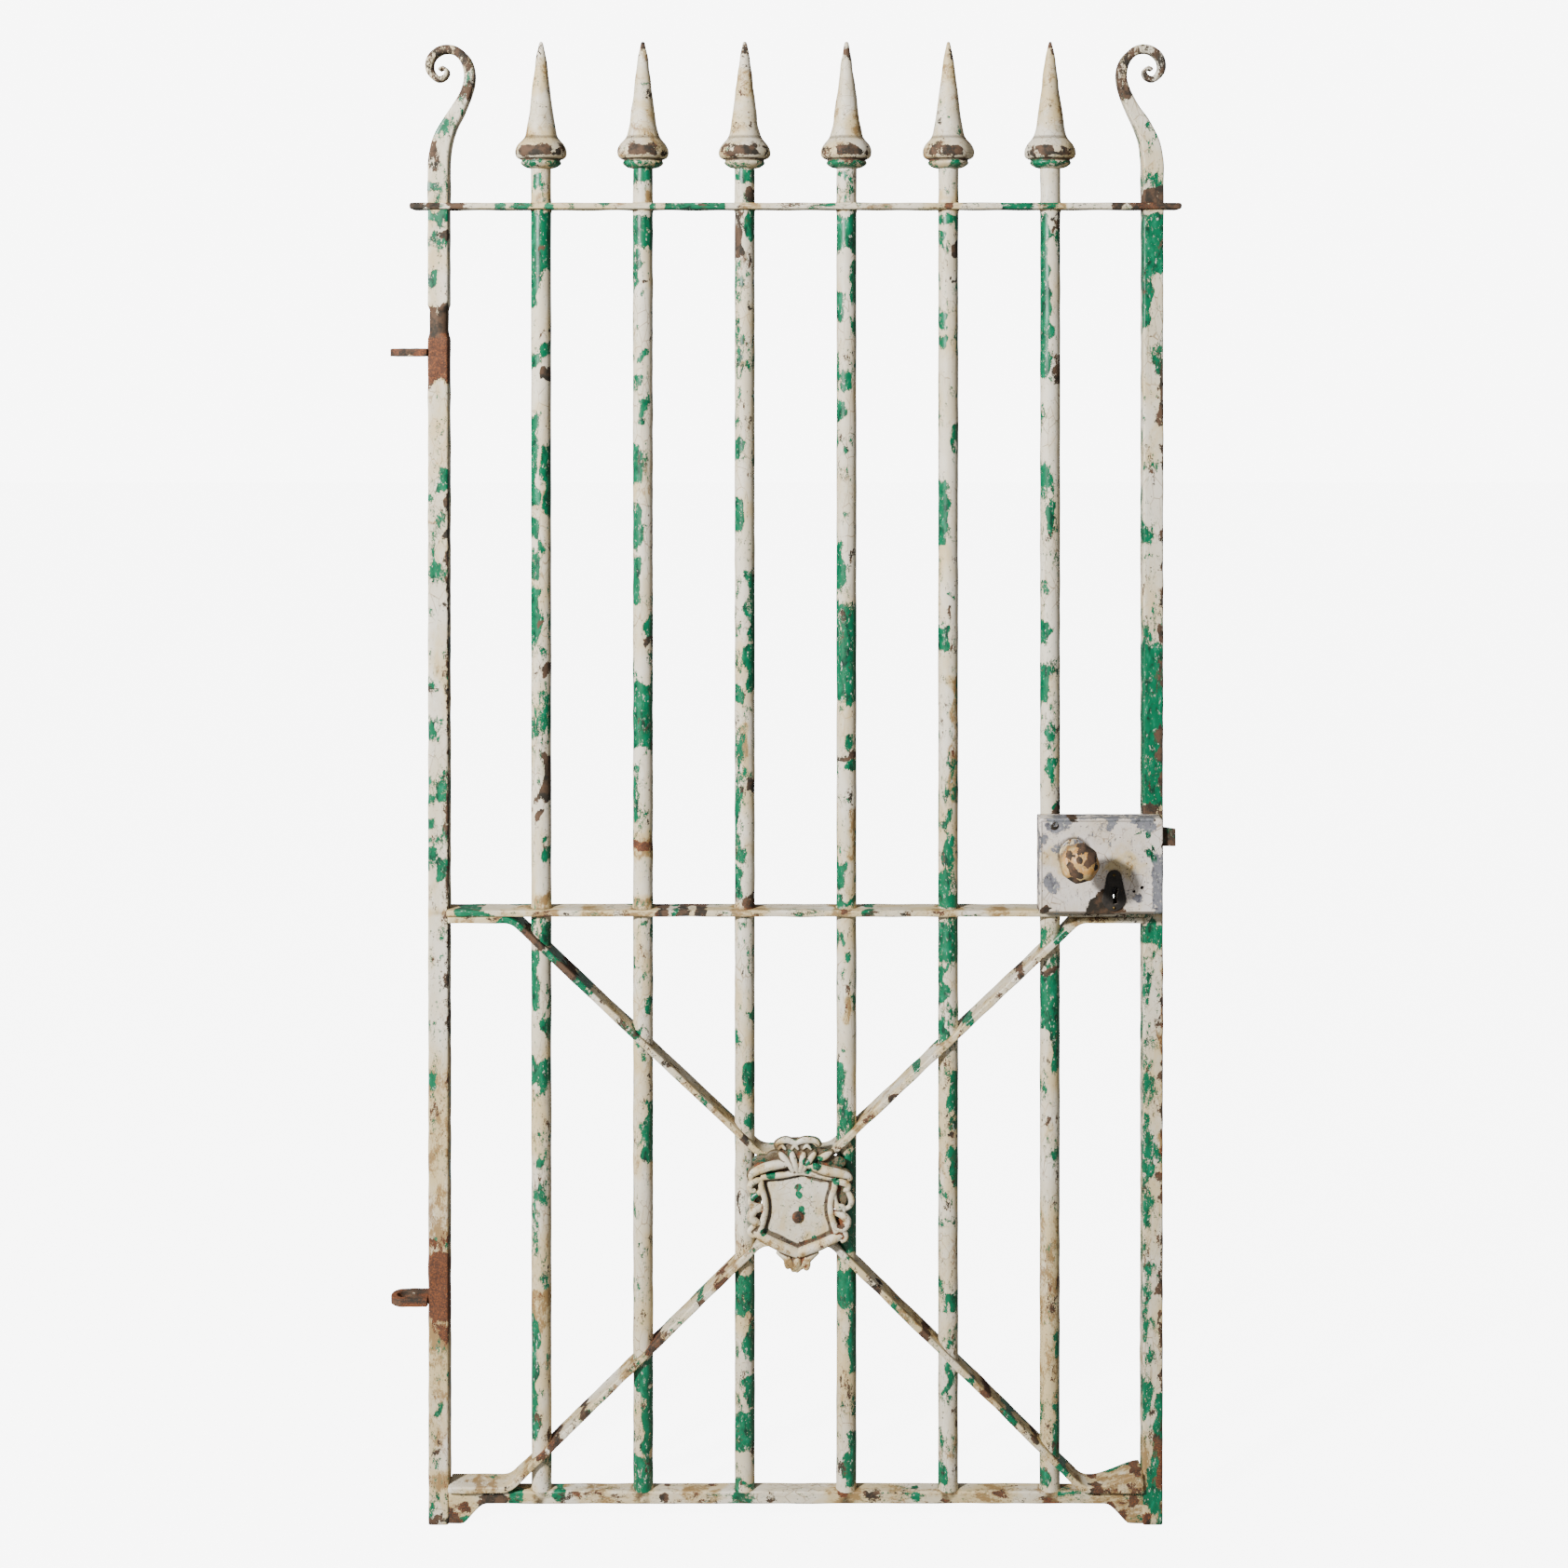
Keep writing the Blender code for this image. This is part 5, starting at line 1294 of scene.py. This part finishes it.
for label, sign in (("front", 1), ("rear", -1)):
    low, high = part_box(f"knob_{label}")
    face, stemEnd = (low.y, high.y) if sign > 0 else (high.y, low.y)
    middle = -face - sign * knob["reach"] * mm
    rows = np.array(knob["rows"], float)
    rows[-1, 1] = -abs(stemEnd + middle) / mm
    rows = smoothCurve(rows * mm, 6) * np.array([1, sign])  # a knob behind has its rows turned about
    rows[:, 0] = np.maximum(rows[:, 0], 0)
    rows = np.concatenate([rows, [[0, rows[-1, 1]]]])
    rows[:, 1] += middle
    shape = turned(rows, 64, (knobX, 0, knobZ), axis="y", radiusAt=flats, lump=(knob["lump"] * mm, 0.02, 832))
    mesh = newMesh(f"{label}Knob", *shape)
    points = coordinates(mesh)
    # a knob is darker round its widest rim, through the fourth value
    rim = easeIn(np.hypot(points[:, 0] - knobX, points[:, 2] - knobZ), 19 * mm, 24 * mm)
    setWear(mesh, 0.1 + 0.08 * rim + 0.2 * lumps(points, 0.012, 834),
            0.18 + 0.7 * spotShare(points, knob["dark"], 833) + 0.2 * lumps(points, 0.012, 835),
            np.clip(0.2 + 0.3 * lumps(points, 0.015, 836), 0, 0.55), 0.45 * rim)
    addPiece(f"{label}Knob", mesh, knobPaint, f"knob_{label}", "knob_set", sharp=35)

for label in ("front", "rear"):
    softPiece(f"{label}Rose", f"{label}_rose", casePaint, 0.7, 0.3, 840,
              (842, 0.42, 0.4, 0.5), size=0.01)
softPiece("keyPlate", "key_escutcheon", blackenedIron, 0.4, 0.35, 850, rounds=3)
softPiece("caseScrew", "case_screw", casePaint, 0.45, 0.25, 854, (856, 0.85, 0.3, 0.2),
          rounds=3, shadeAndGrime=0.4, size=0.008)
softPiece("latchBolt", "latch_bolt", castPaint, 0.8, 0.3, 860, (861, 0.6, 0.62, 0.1), "latch",
          rounds=5, shadeAndGrime=0.95, size=0.006)
softPiece("deadboltBar", "deadbolt", darkIron, 0.8, 0.25, 862, body="deadbolt", rounds=3)

# the latch's coil spring, made at its CAD part's length; the real one shortens from 58 to 41.5 mm as
# the latch slides in
spring = dict(turns=7, wire=0.6, steps=300)
springLow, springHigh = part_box("latch_spring")
springY, springZ = (springLow.y + springHigh.y) / 2, (springLow.z + springHigh.z) / 2
radius = (springHigh.z - springLow.z) / 2 - spring["wire"] * mm
share = np.linspace(0, 1, spring["steps"])
angle = 2 * np.pi * spring["turns"] * share
x = springLow.x + 0.7 * mm + (springHigh.x - springLow.x - 1.4 * mm) * share
wirePath = np.stack([x, springY + radius * np.cos(angle), springZ + radius * np.sin(angle)], axis=-1)
outward = np.stack([np.zeros(len(angle)), np.cos(angle), np.sin(angle)], axis=-1)
wire = spring["wire"] * mm
shape = carried(wirePath, wire, wire, wire * 0.98, 0.1 * mm, sectionParts(2, 1),
                sides=np.cross(directions(wirePath), outward), depths=outward)
mesh = newMesh("latchSpringCoil", *shape)
coil = addPiece("latchSpringCoil", mesh, oiledSteel, "latch_spring")
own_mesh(coil)

# CAD parts that keep their own shape and only take a material
plainParts = [
    (oiledSteel, ("knob_spindle", "leaf_spring", "key_ward")),
    (darkIron, ("follower", "grub_screw_front", "grub_screw_rear", "spring_post", "deadbolt_stud",
                "leaf_spring_stud", "plate_screw_upper", "plate_screw_lower")),
    (brassPin, ("escutcheon_pin_upper", "escutcheon_pin_lower")),
]
for material, names in plainParts:
    for name in names:
        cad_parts[name].data.materials.clear()
        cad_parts[name].data.materials.append(material)
print("lock made")

# the floor, which the camera sees lifted nearly to white, and the light, which looks at aim's height
lighting = dict(key=430.0, keySize=0.36, keyFrom=(-1.85, -2.85, 2.55), aim=0.9, fill=0.22, backdrop=8.0)
floorLook = dict(colour=linear(140, 140, 138), rough=0.8, glow=7.5,
                 corners=[(-14, -6), (15, -6), (15, 22), (-14, 22)])
floorMesh = bpy.data.meshes.new("floor")
floorMesh.from_pydata([(x, y, -0.001) for x, y in floorLook["corners"]], [], [(0, 1, 2, 3)])
material, tree, shader = newMaterial("paleFloor")
glow = node("LightPath", {}, tree)["Is Camera Ray"] * floorLook["glow"]
feed(shader, {"Base Color": floorLook["colour"], "Roughness": floorLook["rough"], "Emission Color": white,
              "Emission Strength": glow})
floorMesh.materials.append(material)
floor = bpy.data.objects.new("floor", floorMesh)
bpy.context.scene.collection.objects.link(floor)

keyData = bpy.data.lights.new("keyLight", "AREA")
keyData.energy = lighting["key"]
keyData.size = lighting["keySize"]
keyLight = bpy.data.objects.new("keyLight", keyData)
keyLight.location = lighting["keyFrom"]
aim = Vector((leafX, 0, lighting["aim"])) - keyLight.location
keyLight.rotation_euler = aim.to_track_quat("-Z", "Y").to_euler()
bpy.context.scene.collection.objects.link(keyLight)

world = bpy.data.worlds.new("studio")
world.use_nodes = True
seen = node("LightPath", {}, world.node_tree)["Is Camera Ray"]
feed(world.node_tree.nodes["Background"],
     {"Color": white, "Strength": blend(seen, lighting["fill"], lighting["backdrop"])})
bpy.context.scene.world = world

# the camera at standing eye height, a little below level; down is in degrees
viewFrom = dict(lens=53.369, shift=(-0.00844, -0.2738), place=(0.49, -2.9, 1.4677), down=0.2253)
cameraData = bpy.data.cameras.new("camera")
cameraData.lens = viewFrom["lens"]
cameraData.sensor_width = 36
cameraData.shift_x, cameraData.shift_y = viewFrom["shift"]
camera = bpy.data.objects.new("camera", cameraData)
camera.location = viewFrom["place"]
camera.rotation_euler = (math.radians(90 - viewFrom["down"]), 0, 0)
bpy.context.scene.collection.objects.link(camera)
bpy.context.scene.camera = camera

print("scene made")
